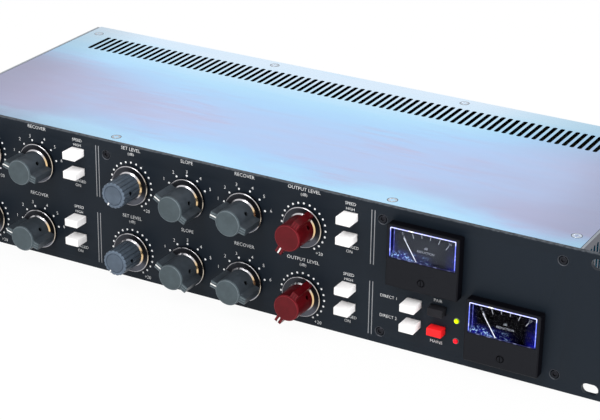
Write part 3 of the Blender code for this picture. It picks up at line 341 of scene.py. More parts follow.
class Recipe:
    """The nodes of one material, or of the world."""

    def __init__(self, tree: bpy.types.NodeTree) -> None:
        """Empties the tree and keeps it."""
        self.tree = tree
        tree.nodes.clear()

    def node(self, kind: str, settings: dict, sockets: dict, output: Union[int, str] = 0) -> Optional[Wire]:
        """Makes one node.

        Args:
            kind: The node's type.
            settings: Its settings, and a ramp's stops as pairs of place and colour.
            sockets: The value or the wire of each socket, by name or number.
            output: Which output to give back.

        Returns:
            The output, or None where the node has none.
        """
        made = self.tree.nodes.new(kind)
        for name, value in settings.items():
            if name == "stops":
                self.set_stops(made.color_ramp, value)
            else:
                setattr(made, name, value)
        for name, value in sockets.items():
            socket = made.inputs[name]
            if isinstance(value, Wire):
                self.tree.links.new(value.socket, socket)
            else:
                socket.default_value = (*value, 1.0) if socket.type == "RGBA" else value
        return Wire(self, made.outputs[output]) if len(made.outputs) else None

    def set_stops(self, ramp: bpy.types.ColorRamp, stops: Sequence[tuple[float, Colour]]) -> None:
        """Puts the stops, each a place and a colour, into a new ramp, which has two already."""
        for place, _ in stops[2:]:
            ramp.elements.new(place)
        for element, (place, colour) in zip(ramp.elements, stops):
            element.position = place
            element.color = (*colour, 1.0)

    def source(self, kind: str, output: str) -> Wire:
        """Makes a node that only gives, such as coordinates, and takes one of its outputs."""
        return self.node(kind, {}, {}, output)

    def maths(self, operation: str, first: Term, second: Term = 0.0) -> Wire:
        """Makes a Math node on one value or two."""
        return self.node("ShaderNodeMath", {"operation": operation}, {0: first, 1: second})

    def coords(self, centre: Point = ORIGIN, scale: Point = (1.0, 1.0, 1.0)) -> Wire:
        """Gives scale (place - centre), from Object coordinates.

        Args:
            centre: The point that becomes zero, in metres.
            scale: How much each direction is stretched.

        Returns:
            The vector.
        """
        place = self.source("ShaderNodeTexCoord", "Object")
        shift = tuple(-s * c for s, c in zip(scale, centre))
        return self.node("ShaderNodeMapping", {}, {"Vector": place, "Location": shift, "Scale": scale})

    def looks(self) -> Wire:
        """Gives the direction that a face looks in."""
        return self.source("ShaderNodeTexCoord", "Normal")

    def larger(self, first: Term, second: Term) -> Wire:
        """Gives the larger of two values."""
        return self.maths("MAXIMUM", first, second)

    def axis(self, vector: Wire, name: str) -> Wire:
        """Takes X, Y or Z out of a vector."""
        return self.node("ShaderNodeSeparateXYZ", {}, {0: vector}, name)

    def noise(self, vector: Wire, scale: float, detail: float = 2.0) -> Wire:
        """Gives soft noise from about 0.3 to 0.7."""
        return self.node("ShaderNodeTexNoise", {}, {"Vector": vector, "Scale": scale, "Detail": detail})

    def cells(self, vector: Wire, scale: float, output: str) -> Wire:
        """Gives the distance or the colour of scattered cells."""
        return self.node("ShaderNodeTexVoronoi", {}, {"Vector": vector, "Scale": scale}, output)

    def length(self, vector: Wire) -> Wire:
        """Gives a vector's length."""
        return self.node("ShaderNodeVectorMath", {"operation": "LENGTH"}, {0: vector}, "Value")

    def rise(self, value: Term, low: float, high: float) -> Wire:
        """Goes smoothly from 0 at low to 1 at high, or down where low is the larger.

        Args:
            value: What is compared.
            low: Where the result is 0.
            high: Where the result is 1.

        Returns:
            The share from 0 to 1.
        """
        ends = {"Value": value, "From Min": min(low, high), "From Max": max(low, high)}
        up = self.node("ShaderNodeMapRange", {"interpolation_type": "SMOOTHSTEP"}, ends)
        return up if low < high else 1.0 - up

    def varied(self, middle: float, *shares: tuple[float, Wire]) -> Wire:
        """Moves a value by a share of each noise: middle + share (noise - 0.5) + ..."""
        value = middle
        for share, noise in shares:
            value = value + share * (noise - 0.5)
        return value

    def ramp(self, value: Wire, stops: Sequence[tuple[float, Colour]]) -> Wire:
        """Gives a colour along a row of stops."""
        return self.node("ShaderNodeValToRGB", {"stops": stops}, {"Fac": value})

    def blend(self, share: Term, first: Union[Wire, Colour], second: Union[Wire, Colour]) -> Wire:
        """Mixes two colours, with that share of the second."""
        return self.node("ShaderNodeMix", {"data_type": "RGBA"}, {0: share, 6: first, 7: second}, 2)

    def bump(self, height: Wire, strength: float, depth: float) -> Wire:
        """Gives a normal from a height, with a depth in millimetres."""
        sockets = {"Height": height, "Strength": strength, "Distance": depth * MM}
        return self.node("ShaderNodeBump", {}, sockets)

    def glossy(self, **sockets: Union[Term, Colour]) -> None:
        """Makes the Principled shader from its sockets, with _ for each space, and the output."""
        named = {name.replace("_", " "): value for name, value in sockets.items()}
        shader = self.node("ShaderNodeBsdfPrincipled", {}, named)
        self.node("ShaderNodeOutputMaterial", {}, {"Surface": shader})

    def metallic(self, colour: Wire, roughness: Wire, grain: Wire, relief: float) -> None:
        """Makes bare metal with a fine grain in its relief."""
        normal = self.bump(grain, relief, METAL_GRAIN_DEPTH)
        self.glossy(Base_Color=colour, Metallic=1.0, Roughness=roughness, Normal=normal)

    def glowing(self, light: Wire, roughness: Wire, strength: float, specular: float) -> None:
        """Makes a surface that gives off light of its own colour."""
        self.glossy(
            Base_Color=light, Roughness=roughness, Specular_IOR_Level=specular,
            Emission_Color=light, Emission_Strength=strength,
        )


def seen(red: int, green: int, blue: int) -> Colour:
    """Turns a display colour from 0 to 255 into linear light, by the sRGB curve."""
    shares = np.array([red, green, blue]) / 255.0
    linear = np.where(shares > 0.04045, ((shares + 0.055) / 1.055) ** 2.4, shares / 12.92)
    return tuple(float(value) for value in linear)


def toned(colour: Colour, factor: float) -> Colour:
    """Gives a lighter or darker tone of a colour."""
    return tuple(min(1.0, value * factor) for value in colour)


def spread(colour: Colour, share: float) -> tuple[Colour, Colour]:
    """Gives a colour's darker and lighter tone, each that share away."""
    return toned(colour, 1.0 - share), toned(colour, 1.0 + share)


# Finishes

@dataclass(frozen=True)
class Finish:
    """A finish: its material's name, its colour and its roughness."""

    name: str
    colour: Colour
    roughness: float = 0.5

    def material(self) -> bpy.types.Material:
        """Gives the finish's material, which is made at its first use."""
        made = bpy.data.materials.get(self.name)
        if made is None:
            made = bpy.data.materials.new(self.name)
            made.use_nodes = True
            self.mix(Recipe(made.node_tree))
        return made

    def mix(self, recipe: Recipe) -> None:
        """Puts the finish's nodes into its material."""
        raise NotImplementedError(self.name)


@dataclass(frozen=True)
class Moulded(Finish):
    """Moulded plastic: a cloudy colour, and a fine grain in its gloss and relief."""

    grain: float = 0.2
    cloud: float = 0.10
    specular: float = 0.5
    cloud_scale: float = 180.0
    grain_scale: float = 8000.0
    grain_depth: float = 0.02
    cloud_gloss: float = 0.12
    grain_gloss: float = 0.10

    def mix(self, recipe: Recipe) -> None:
        """Varies the colour in clouds of some millimetres and the gloss in fine grain."""
        place = recipe.coords()
        cloud = recipe.noise(place, self.cloud_scale, 3.0)
        grain = recipe.noise(place, self.grain_scale)
        recipe.glossy(
            Base_Color=recipe.blend(recipe.rise(cloud, *NOISE_SPAN), *spread(self.colour, self.cloud)),
            Roughness=recipe.varied(self.roughness, (self.cloud_gloss, cloud), (self.grain_gloss, grain)),
            Normal=recipe.bump(grain, self.grain, self.grain_depth),
            Specular_IOR_Level=self.specular,
        )


@dataclass(frozen=True)
class MeterCase(Moulded):
    """Moulded plastic with a matt grained face and darker sides: a painted sheen on the face, painted shade
    on the sides.
    """

    sides: Colour = seen(8, 8, 12)
    front_span: Pair = (-0.5, -0.9)

    def mix(self, recipe: Recipe) -> None:
        """Paints shade on what doesn't look to the front and grains the rest."""
        face = recipe.rise(recipe.axis(recipe.looks(), "Y"), *self.front_span)
        grain = recipe.noise(recipe.coords(), self.grain_scale)
        tone = recipe.blend(grain, *spread(self.colour, self.cloud))
        recipe.glossy(
            Base_Color=recipe.blend(face, self.sides, tone),
            Roughness=recipe.varied(self.roughness, (self.grain_gloss, grain)),
            Normal=recipe.bump(grain, self.grain, self.grain_depth),
            Specular_IOR_Level=self.specular,
        )


@dataclass(frozen=True)
class PanelPaint(Finish):
    """Satin paint on the panel: fine orange-peel relief, faint clouds and outer edges paled by wear and a
    painted highlight.
    """

    # The pale outer edge: worn paint and a painted highlight along the top and the ends
    rubbed: Colour = seen(96, 102, 110)
    rubbed_width: float = 0.5
    rubbed_share: float = 0.4
    half_width: float = 241.3
    height: float = 88.1
    specular: float = 0.16
    speckle: float = 0.2
    speckle_scale: float = 2600.0
    speckle_gloss: float = 0.12
    speckle_relief: Pair = (0.25, 0.03)
    cloud_scale: float = 14.0
    cloud_gloss: float = 0.16
    chafe_scale: float = 500.0
    chafe_span: Pair = (0.35, 0.6)

    def mix(self, recipe: Recipe) -> None:
        """Pales the paint along the outline, as wear and a painted edge highlight, and speckles it."""
        place = recipe.coords()
        speckle = recipe.noise(place, self.speckle_scale, 3.0)
        cloud = recipe.noise(place, self.cloud_scale, 3.0)
        side = abs(recipe.axis(place, "X")) - (self.half_width - self.rubbed_width) * MM
        top = recipe.axis(place, "Z") - (self.height - self.rubbed_width) * MM
        chafe = recipe.noise(place, self.chafe_scale, 4.0)
        # Worn paint and a painted highlight along the top and the two ends
        outer = recipe.rise(recipe.larger(side, top), 0.0, self.rubbed_width * MM)
        edge = outer * recipe.rise(chafe, *self.chafe_span)
        paint = recipe.blend(speckle, *spread(self.colour, self.speckle))
        gloss = ((self.cloud_gloss, cloud), (self.speckle_gloss, speckle))
        recipe.glossy(
            Base_Color=recipe.blend(edge * self.rubbed_share, paint, self.rubbed),
            Roughness=recipe.varied(self.roughness, *gloss),
            Normal=recipe.bump(speckle, *self.speckle_relief),
            Specular_IOR_Level=self.specular,
        )


@dataclass(frozen=True)
class PlatedSheet(Finish):
    """Blue-passivated zinc sheet, its tints a painted reflection: a film that thins to the front and, far
    more, to the back.

    Reaches, lags, starts and stops are in millimetres, and other lengths in metres.
    """

    low: Pair = (-1.0, -1.0)
    high: Pair = (1.0, 1.0)
    film: tuple[tuple[float, Colour], ...] = ()
    film_shares: Point = (0.95, 0.26, 0.18)
    left_colour: Colour = (0.4, 0.4, 0.5)
    right_colour: Colour = (0.4, 0.4, 0.5)
    blush: Colour = (0.6, 0.5, 0.8)
    # Painted shade: the dark colour given to the slots' walls and the bevels
    wall: Colour = seen(16, 18, 22)
    wall_turn: Pair = (0.65, 0.25)
    cloud_scales: Point = (9.0, 16.0, 16.0)
    streak_scales: Point = (20.0, 150.0, 150.0)
    brush_scales: Point = (30.0, 5200.0, 5200.0)
    brush_share: float = 0.05
    brush_relief: float = 0.10
    brush_gloss: float = 0.14
    cloud_gloss: float = 0.16
    wave: float = 0.05
    front_reach: float = 38.0
    front_film: float = 0.45
    back_reach: float = 120.0
    right_lag: float = 46.0
    right_span: Pair = (0.02, 0.22)
    left_lag: float = 16.0
    left_span: Pair = (-0.08, -0.20)
    middle_span: Pair = (-0.05, 0.05)
    fore_reach: Pair = (62.0, 20.0)
    fore_film: Pair = (0.42, 0.80)
    fore_span: Pair = (0.0, 0.11)
    fore_blush: float = 0.7
    calm_share: float = 0.8
    calm_across: Pair = (0.08, 0.15)
    calm_deep: Pair = (-0.02, 0.02)
    patch_film: Pair = (0.42, 1.0)
    patch_streak: float = 0.8
    patch_noise: Pair = (-0.08, 0.22)
    blush_share: float = 0.65
    end_start: float = 80.0
    end_stop: float = 210.0
    end_cloud: float = 0.10
    end_fore: float = 0.035
    end_left: float = 0.25
    end_front: Pair = (0.55, 0.95)
    end_back: Pair = (0.6, 1.0)
    end_share: float = 0.85
    edge_start: float = 165.0
    edge_stop: float = 225.0
    edge_shade: float = 0.24
    corner_reach: float = 24.0
    corner_span: Pair = (-0.04, -0.20)
    corner_shade: float = 0.30
    behind_across: Pair = (0.06, 0.20)
    behind_deep: Pair = (0.02, 0.09)
    behind_shade: float = 0.26

    def mix(self, recipe: Recipe) -> None:
        """Thickens the painted reflection's film away from the front and the back, tints both ends and
        paints shade on cut walls.
        """
        place = recipe.coords()
        across, depth = recipe.axis(place, "X"), recipe.axis(place, "Y")
        front_edge, back_edge = self.low[1], self.high[1]
        cloud = recipe.noise(recipe.coords(scale=self.cloud_scales), 1.0, 4.0) - 0.5
        streak = recipe.noise(recipe.coords(scale=self.streak_scales), 1.0, 4.0) - 0.5
        brushed = recipe.noise(recipe.coords(scale=self.brush_scales), 1.0, 2.0)
        # How thick the film of painted reflection is
        waved = depth + self.wave * cloud
        rising = recipe.rise(waved, front_edge, front_edge + self.front_reach * MM)
        front = self.front_film + (1.0 - self.front_film) * rising
        lag = self.right_lag * recipe.rise(across, *self.right_span)
        lag = lag + self.left_lag * recipe.rise(across, *self.left_span)
        back = recipe.rise(waved - lag * MM, back_edge, back_edge - self.back_reach * MM)
        thickness = front * back
        from_film, from_cloud, from_streak = self.film_shares
        film = recipe.ramp(from_film * thickness + from_cloud * cloud + from_streak * streak, self.film)
        # Where it blushes: pink patches of painted reflection
        ahead = recipe.rise(depth, *(front_edge + reach * MM for reach in self.fore_reach))
        fore = ahead * recipe.rise(front, *self.fore_film)
        calmed = self.calm_share * recipe.rise(across, *self.calm_across)
        calm = 1.0 - calmed * recipe.rise(depth, *self.calm_deep)
        mottled = recipe.rise(cloud + self.patch_streak * streak, *self.patch_noise)
        patches = recipe.rise(thickness, *self.patch_film) * calm * mottled
        pink = patches + self.fore_blush * fore * recipe.rise(across, *self.fore_span)
        blushed = recipe.blend(self.blush_share * pink, film, self.blush)
        # The tints of its two ends, also painted reflection
        reach = abs(across) + self.end_cloud * cloud + self.end_fore * fore
        far = recipe.rise(reach, self.end_start * MM, self.end_stop * MM)
        end = recipe.blend(recipe.rise(across, *self.middle_span), self.left_colour, self.right_colour)
        leftward = recipe.rise(across, *reversed(self.middle_span))
        began = recipe.rise(front + self.end_left * leftward, *self.end_front)
        ended = far * began * recipe.rise(back, *self.end_back)
        tinted = recipe.blend(self.end_share * ended, blushed, end)
        # The shade at its edges
        near = recipe.rise(depth, front_edge + self.corner_reach * MM, front_edge)
        corner = near * recipe.rise(across, *self.corner_span)
        edge = recipe.rise(abs(across), self.edge_start * MM, self.edge_stop * MM)
        behind = recipe.rise(across, *self.behind_across) * recipe.rise(depth, *self.behind_deep)
        dimming = self.edge_shade * edge + self.corner_shade * corner + self.behind_shade * behind
        shade = recipe.blend(dimming, WHITE, BLACK)
        multiply = {"data_type": "RGBA", "blend_type": "MULTIPLY"}
        # Multiplies in the painted shade at the edges, the front-left corner and the right back
        with_painted_shade = recipe.node("ShaderNodeMix", multiply, {0: 1.0, 6: tinted, 7: shade}, 2)
        sheet = recipe.blend(self.brush_share * recipe.rise(brushed, *NOISE_SPAN), with_painted_shade, self.colour)
        # Painted shade on what doesn't look up or down: the slots' walls and the bevels
        upward = abs(recipe.axis(recipe.looks(), "Z"))
        whole = recipe.blend(recipe.rise(upward, *self.wall_turn), sheet, self.wall)
        gloss = recipe.varied(self.roughness, (self.brush_gloss, brushed)) + self.cloud_gloss * cloud
        recipe.metallic(whole, gloss, brushed, self.brush_relief)


@dataclass(frozen=True)
class Metal(Finish):
    """Plain metal: drawn lines along one axis, and clouds in its tone."""

    lines: Point = (40.0, 3000.0, 3000.0)
    line_gloss: float = 0.16
    cloud: float = 0.18
    cloud_scale: float = 60.0
    cloud_gloss: float = 0.12
    relief: float = 0.12

    def mix(self, recipe: Recipe) -> None:
        """Varies tone and gloss along the drawn lines."""
        drawn = recipe.noise(recipe.coords(scale=self.lines), 1.0, 2.0)
        cloud = recipe.noise(recipe.coords(), self.cloud_scale, 4.0)
        tone = recipe.blend(recipe.rise(cloud, *NOISE_SPAN), *spread(self.colour, self.cloud))
        gloss = recipe.varied(self.roughness, (self.line_gloss, drawn), (self.cloud_gloss, cloud))
        recipe.metallic(tone, gloss, drawn, self.relief)


@dataclass(frozen=True)
class SideSheet(Metal):
    """Drawn sheet whose upward edges are as pale as the cover and whose slots' walls are cyan, both painted
    highlights.
    """

    upper: Colour = seen(150, 157, 166)
    slot_wall: Colour = seen(112, 204, 228)
    turn_span: Pair = (0.4, 0.8)

    def mix(self, recipe: Recipe) -> None:
        """Draws lines along the sheet and paints highlights on what looks up and on the walls of the slots.
        """
        drawn = recipe.noise(recipe.coords(scale=self.lines), 1.0, 2.0)
        looks = recipe.looks()
        upward, along = recipe.axis(looks, "Z"), abs(recipe.axis(looks, "Y"))
        tone = recipe.blend(drawn, *spread(self.colour, self.cloud))
        walled = recipe.blend(recipe.rise(along, *self.turn_span), tone, self.slot_wall)
        paled = recipe.blend(recipe.rise(upward, *self.turn_span), walled, self.upper)
        gloss = recipe.varied(self.roughness, (self.line_gloss, drawn))
        recipe.metallic(paled, gloss, drawn, self.relief)


@dataclass(frozen=True)
class Spun(Finish):
    """Metal turned about an axis along Y: fine circles, two fans of painted reflection and a warm painted
    reflection at its right.
    """

    centre: Point = ORIGIN
    fan: Colour = (0.1, 0.1, 0.1)
    warm: Colour = (0.8, 0.6, 0.4)
    fan_turn: float = 135.0
    fan_start: float = 0.3
    far_fan: float = 0.3
    warm_turn: float = 84.0
    warm_start: float = 0.70
    circle_scale: float = 2600.0
    circle_gloss: float = 0.14
    relief: float = 0.12

    def mix(self, recipe: Recipe) -> None:
        """Works from the angle round the axis, clockwise from up, and the distance from it."""
        place = recipe.coords(self.centre, (1.0, 0.0, 1.0))
        circles = recipe.noise(recipe.length(place), self.circle_scale, 2.0)
        turn = recipe.maths("ARCTAN2", recipe.axis(place, "X"), recipe.axis(place, "Z"))
        facing, aside = (
            recipe.maths("COSINE", turn - math.radians(middle))
            for middle in (self.fan_turn, self.warm_turn)
        )
        near_fan, far_fan = (recipe.rise(facing, sign * self.fan_start, sign) for sign in (1.0, -1.0))
        base = recipe.blend(near_fan + self.far_fan * far_fan, self.colour, self.fan)
        warmed = recipe.blend(recipe.rise(aside, self.warm_start, 1.0), base, self.warm)
        gloss = recipe.varied(self.roughness, (self.circle_gloss, circles))
        recipe.metallic(warmed, gloss, circles, self.relief)


@dataclass(frozen=True)
class Ink(Finish):
    """Screen-printed ink, a little uneven, with a share of its own light where a lamp is behind it."""

    glow: float = 0.0
    darker: float = 0.86
    speckle_scale: float = 2200.0
    speckle_span: Pair = (0.3, 0.6)
    speckle_gloss: float = 0.2
    specular: float = 0.3

    def mix(self, recipe: Recipe) -> None:
        """Mottles the ink's tone."""
        speckle = recipe.noise(recipe.coords(), self.speckle_scale, 3.0)
        share = recipe.rise(speckle, *self.speckle_span)
        tone = recipe.blend(share, toned(self.colour, self.darker), self.colour)
        gloss = recipe.varied(self.roughness, (self.speckle_gloss, speckle))
        recipe.glowing(tone, gloss, self.glow, self.specular)


@dataclass(frozen=True)
class Lit(Finish):
    """Clear plastic with light in it, brighter in the middle and mottled."""

    rim: Colour = (0.2, 0.2, 0.2)
    centre: Point = ORIGIN
    reach: float = 1.5
    strength: float = 0.82
    rim_span: Pair = (0.5, 1.1)
    speckle: float = 0.3
    speckle_scale: float = 1500.0
    speckle_gloss: float = 0.1
    specular: float = 0.15

    def mix(self, recipe: Recipe) -> None:
        """Goes from the lit colour at the centre to the rim's colour at its reach."""
        away = recipe.length(recipe.coords(self.centre)) / (self.reach * MM)
        speckle = recipe.noise(recipe.coords(), self.speckle_scale, 2.0)
        share = recipe.rise(recipe.varied(away, (self.speckle, speckle)), *self.rim_span)
        light = recipe.blend(share, self.colour, self.rim)
        gloss = recipe.varied(self.roughness, (self.speckle_gloss, speckle))
        recipe.glowing(light, gloss, self.strength, self.specular)


@dataclass(frozen=True)
class LampHousing(Finish):
    """The lamp-lit inside of a meter: a dark card with blue light and sparks from its lower corners.

    Spans across and up are shares of the window's half size.
    """

    centre: Point = ORIGIN
    half_size: Pair = (20.0, 10.0)
    light: Colour = seen(40, 42, 200)
    spark: Colour = seen(176, 216, 255)
    left_share: float = 1.0
    right_share: float = 0.6
    haze: float = 0.0
    specular: float = 0.03
    low_span: Pair = (0.9, -1.1)
    left_span: Pair = (-0.78, -1.08)
    right_span: Pair = (0.55, 1.05)
    foot_up: Pair = (-0.40, -1.15)
    foot_across: Pair = (0.55, -0.9)
    inside_span: Pair = (-1.75, -1.45)
    spark_up: Pair = (-0.62, -0.90)
    spark_across: Pair = (0.30, -0.35)
    side_least: float = 0.12
    cloud_least: float = 0.35
    cloud_scale: float = 320.0
    cloud_span: Pair = (0.38, 0.62)
    grain_scale: float = 1200.0
    grain_span: Pair = (0.53, 0.62)
    cluster_span: Pair = (0.44, 0.54)
    speckle: float = 0.15
    speckle_scale: float = 3000.0
    speckle_gloss: float = 0.1

    def mix(self, recipe: Recipe) -> None:
        """Adds two corner glows, which break up into sparks, to the card's own dark colour."""
        scale = (1.0 / MM / self.half_size[0], 1.0, 1.0 / MM / self.half_size[1])
        place = recipe.coords(self.centre, scale)
        fine = recipe.coords(self.centre)
        across, up = recipe.axis(place, "X"), recipe.axis(place, "Z")
        low = recipe.rise(up, *self.low_span)
        left = recipe.rise(across, *self.left_span) * self.left_share
        right = recipe.rise(across, *self.right_span) * self.right_share
        foot = recipe.rise(up, *self.foot_up) * recipe.rise(across, *self.foot_across)
        cloud = recipe.rise(recipe.noise(fine, self.cloud_scale, 3.0), *self.cloud_span)
        side = recipe.larger(left, right) * (self.side_least + (1.0 - self.side_least) * low * low)
        corners = recipe.larger(side, foot * self.left_share)
        glow = corners * (self.cloud_least + (1.0 - self.cloud_least) * cloud) + self.haze * low
        inside = recipe.rise(up, *self.inside_span)
        grains = recipe.rise(recipe.noise(fine, self.grain_scale, 3.0), *self.grain_span)
        bright = recipe.rise(recipe.noise(fine, self.cloud_scale, 2.0), *self.cluster_span) * grains
        sparks = bright * recipe.rise(up, *self.spark_up) * recipe.rise(across, *self.spark_across)
        glowing = recipe.blend(glow * inside, BLACK, self.light)
        lit = recipe.blend(sparks * inside, glowing, self.spark)
        speckle = recipe.noise(fine, self.speckle_scale, 2.0)
        recipe.glossy(
            Base_Color=recipe.blend(speckle, *spread(self.colour, self.speckle)),
            Roughness=recipe.varied(self.roughness, (self.speckle_gloss, speckle)),
            Emission_Color=lit,
            Emission_Strength=1.0,
            Specular_IOR_Level=self.specular,
        )


@dataclass(frozen=True)
class EdgeLight(Finish):
    """The window's lit edge: white along the top, blue down the sides and dim along the bottom."""

    centre: Point = ORIGIN
    half_height: float = 9.4
    side_colour: Colour = seen(112, 126, 238)
    low_colour: Colour = seen(16, 16, 52)
    spark: Colour = seen(190, 200, 255)
    glint: Point = ORIGIN
    glint_reach: float = 1.9
    glint_core: float = 0.3
    stop_places: tuple[float, ...] = (0.04, 0.10, 0.85, 0.96)
    foot_span: Pair = (-0.97, -0.86)
    cloud: float = 0.6
    cloud_scale: float = 240.0
    cloud_tone: float = 0.5
    cloud_gloss: float = 0.1
    gleam: float = 0.7
    gleam_least: float = 0.25
    gleam_scale: float = 330.0
    gleam_span: Pair = (0.5, 0.66)
    specular: float = 0.2

    def mix(self, recipe: Recipe) -> None:
        """Runs the light down the window, broken by soft clouds, with one bright glint."""
        place = recipe.coords(self.centre)
        up = recipe.axis(place, "Z") / (self.half_height * MM)
        cloud = recipe.noise(place, self.cloud_scale, 3.0)
        colours = (self.low_colour, self.side_colour, self.side_colour, self.colour)
        band = recipe.ramp(0.5 + 0.5 * up, tuple(zip(self.stop_places, colours)))
        gleam = recipe.rise(recipe.noise(place, self.gleam_scale, 2.0), *self.gleam_span)
        above = recipe.rise(up, *self.foot_span)
        cloudy = recipe.blend(self.cloud * cloud * above, band, toned(self.side_colour, self.cloud_tone))
        away = recipe.length(recipe.coords(self.glint, (1.0, 0.0, 1.0)))
        star = recipe.rise(away, self.glint_reach * MM, self.glint_core * self.glint_reach * MM)
        share = self.gleam * gleam * (self.gleam_least + (1.0 - self.gleam_least) * above)
        light = recipe.blend(star, recipe.blend(share, cloudy, self.spark), WHITE)
        gloss = recipe.varied(self.roughness, (self.cloud_gloss, cloud))
        recipe.glowing(light, gloss, 1.0, self.specular)


@dataclass(frozen=True)
class ClearPane(Finish):
    """The meter's clear window, with faint wipe marks in its gloss."""

    mark_scales: Point = (60.0, 60.0, 300.0)
    mark_span: Pair = (0.5, 0.75)
    mark_gloss: float = 0.05
    refraction: float = 1.08

    def mix(self, recipe: Recipe) -> None:
        """Varies only the gloss."""
        marks = recipe.noise(recipe.coords(scale=self.mark_scales), 1.0, 4.0)
        recipe.glossy(
            Base_Color=self.colour,
            Roughness=self.roughness + self.mark_gloss * recipe.rise(marks, *self.mark_span),
            Transmission_Weight=1.0,
            IOR=self.refraction,
        )


@dataclass(frozen=True)
class Laminate(Finish):
    """A circuit board: traces in its green, and dark and pale parts where something stands on it."""

    floor: float = 0.0
    axis: str = "Z"
    step: float = 0.05
    pale: Colour = seen(176, 178, 172)
    dark: Colour = seen(26, 26, 30)
    trace: float = 0.5
    trace_tone: float = 1.7
    trace_scale: float = 260.0
    trace_span: Pair = (0.42, 0.5)
    trace_relief: Pair = (0.3, 0.05)
    part_scale: float = 45.0
    part_span: Pair = (0.62, 0.7)
    speckle_scale: float = 1800.0
    speckle_gloss: float = 0.2

    def mix(self, recipe: Recipe) -> None:
        """Colours what is above the board by scattered cells."""
        place = recipe.coords()
        traces = recipe.rise(recipe.cells(place, self.trace_scale, "Distance"), *self.trace_span)
        green = recipe.blend(self.trace * traces, self.colour, toned(self.colour, self.trace_tone))
        share = recipe.axis(recipe.cells(place, self.part_scale, "Color"), "X")
        part = recipe.blend(recipe.rise(share, *self.part_span), self.dark, self.pale)
        above = recipe.rise(recipe.axis(place, self.axis), self.floor, self.floor + self.step * MM)
        speckle = recipe.noise(place, self.speckle_scale, 2.0)
        recipe.glossy(
            Base_Color=recipe.blend(above, green, part),
            Roughness=recipe.varied(self.roughness, (self.speckle_gloss, speckle)),
            Normal=recipe.bump(traces, *self.trace_relief),
        )


@dataclass(frozen=True)
class Wrapped(Finish):
    """Tape wound round a ring: overlapping turns, each with a lighter edge."""

    centre: Point = ORIGIN
    turns: float = 40.0
    tones: Pair = (0.85, 1.5)
    edge_start: float = 0.82
    edge_relief: Pair = (0.4, 0.12)
    cloud_scale: float = 300.0
    cloud_gloss: float = 0.2

    def mix(self, recipe: Recipe) -> None:
        """Counts the turns by the angle round the ring's axis."""
        place = recipe.coords(self.centre)
        angle = recipe.maths("ARCTAN2", recipe.axis(place, "Y"), recipe.axis(place, "X"))
        turn = recipe.maths("FRACT", angle * (self.turns / FULL_TURN))
        cloud = recipe.noise(place, self.cloud_scale, 3.0)
        darker, lighter = (toned(self.colour, tone) for tone in self.tones)
        recipe.glossy(
            Base_Color=recipe.blend(recipe.rise(turn, self.edge_start, 1.0), darker, lighter),
            Roughness=recipe.varied(self.roughness, (self.cloud_gloss, cloud)),
            Normal=recipe.bump(turn, *self.edge_relief),
        )


PANEL_PAINT = PanelPaint("satin_panel_paint", seen(22, 30, 39), 0.46)
# The cover's tints are a painted reflection of a blue surround
COVER_PLATE = PlatedSheet(
    "zinc_cover_painted_reflection", seen(232, 240, 252), 0.22,
    tuple(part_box("top_cover")[0])[:2], tuple(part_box("top_cover")[1])[:2],
    film=(
        (0.03, seen(214, 234, 252)), (0.25, seen(190, 229, 253)), (0.48, seen(171, 221, 253)),
        (0.70, seen(165, 211, 252)), (0.86, seen(171, 203, 246)), (0.97, seen(177, 198, 240)),
    ),
    left_colour=seen(161, 158, 191), right_colour=seen(169, 174, 208), blush=seen(184, 188, 224),
)
SIDE_PLATE = SideSheet("drawn_side_plate", seen(64, 67, 80), 0.34, lines=(40.0, 60.0, 3000.0))
ZINC_SHEET = Metal("zinc_sheet", seen(172, 180, 192), 0.30, lines=(40.0, 900.0, 900.0), cloud=0.07)
SOCKET_METAL = Metal("satin_nickel", seen(178, 180, 184), 0.32, lines=(700.0, 700.0, 700.0))
SCREW_STEEL = Metal("bright_screw_steel", seen(188, 198, 210), 0.30, lines=(900.0, 900.0, 900.0))
# Pale metal round the panel's countersinks: a painted highlight
SINK_HIGHLIGHT_METAL = Metal("sink_edge_highlight", seen(92, 94, 100), 0.36, lines=(900.0, 900.0, 900.0))
# Black oxide on screws, also used as the painted shade round the cover screws and in the knobs' bores
SCREW_BLACK_AND_SHADE = Metal("black_oxide_and_painted_shade", seen(46, 47, 52), 0.34, lines=(1500.0, 1500.0, 1500.0))
CONTACT_METAL = Metal("silvered_contact", seen(206, 206, 200), 0.22, lines=(1500.0, 1500.0, 1500.0))
KNOB_DARK = Moulded("dark_knob_side", seen(49, 55, 61), 0.42, cloud=0.16, specular=0.3)
KNOB_BLUE_SIDE = Moulded("blue_grey_knob_side", seen(60, 69, 79), 0.40, cloud=0.16, specular=0.35)
KNOB_BLUE_CAP = Moulded("blue_grey_knob_cap", seen(80, 92, 106), 0.48, specular=0.25)
KNOB_GREY_CAP = Moulded("grey_knob_cap", seen(69, 80, 85), 0.48, specular=0.25)
KNOB_RED = Moulded("red_knob_side", seen(68, 2, 7), 0.34, cloud=0.2, specular=0.24)
# The red crown is the side's red, paled by a painted sheen
KNOB_RED_CAP_SHEEN = Moulded("red_knob_cap", seen(90, 20, 26), 0.46, specular=0.12)
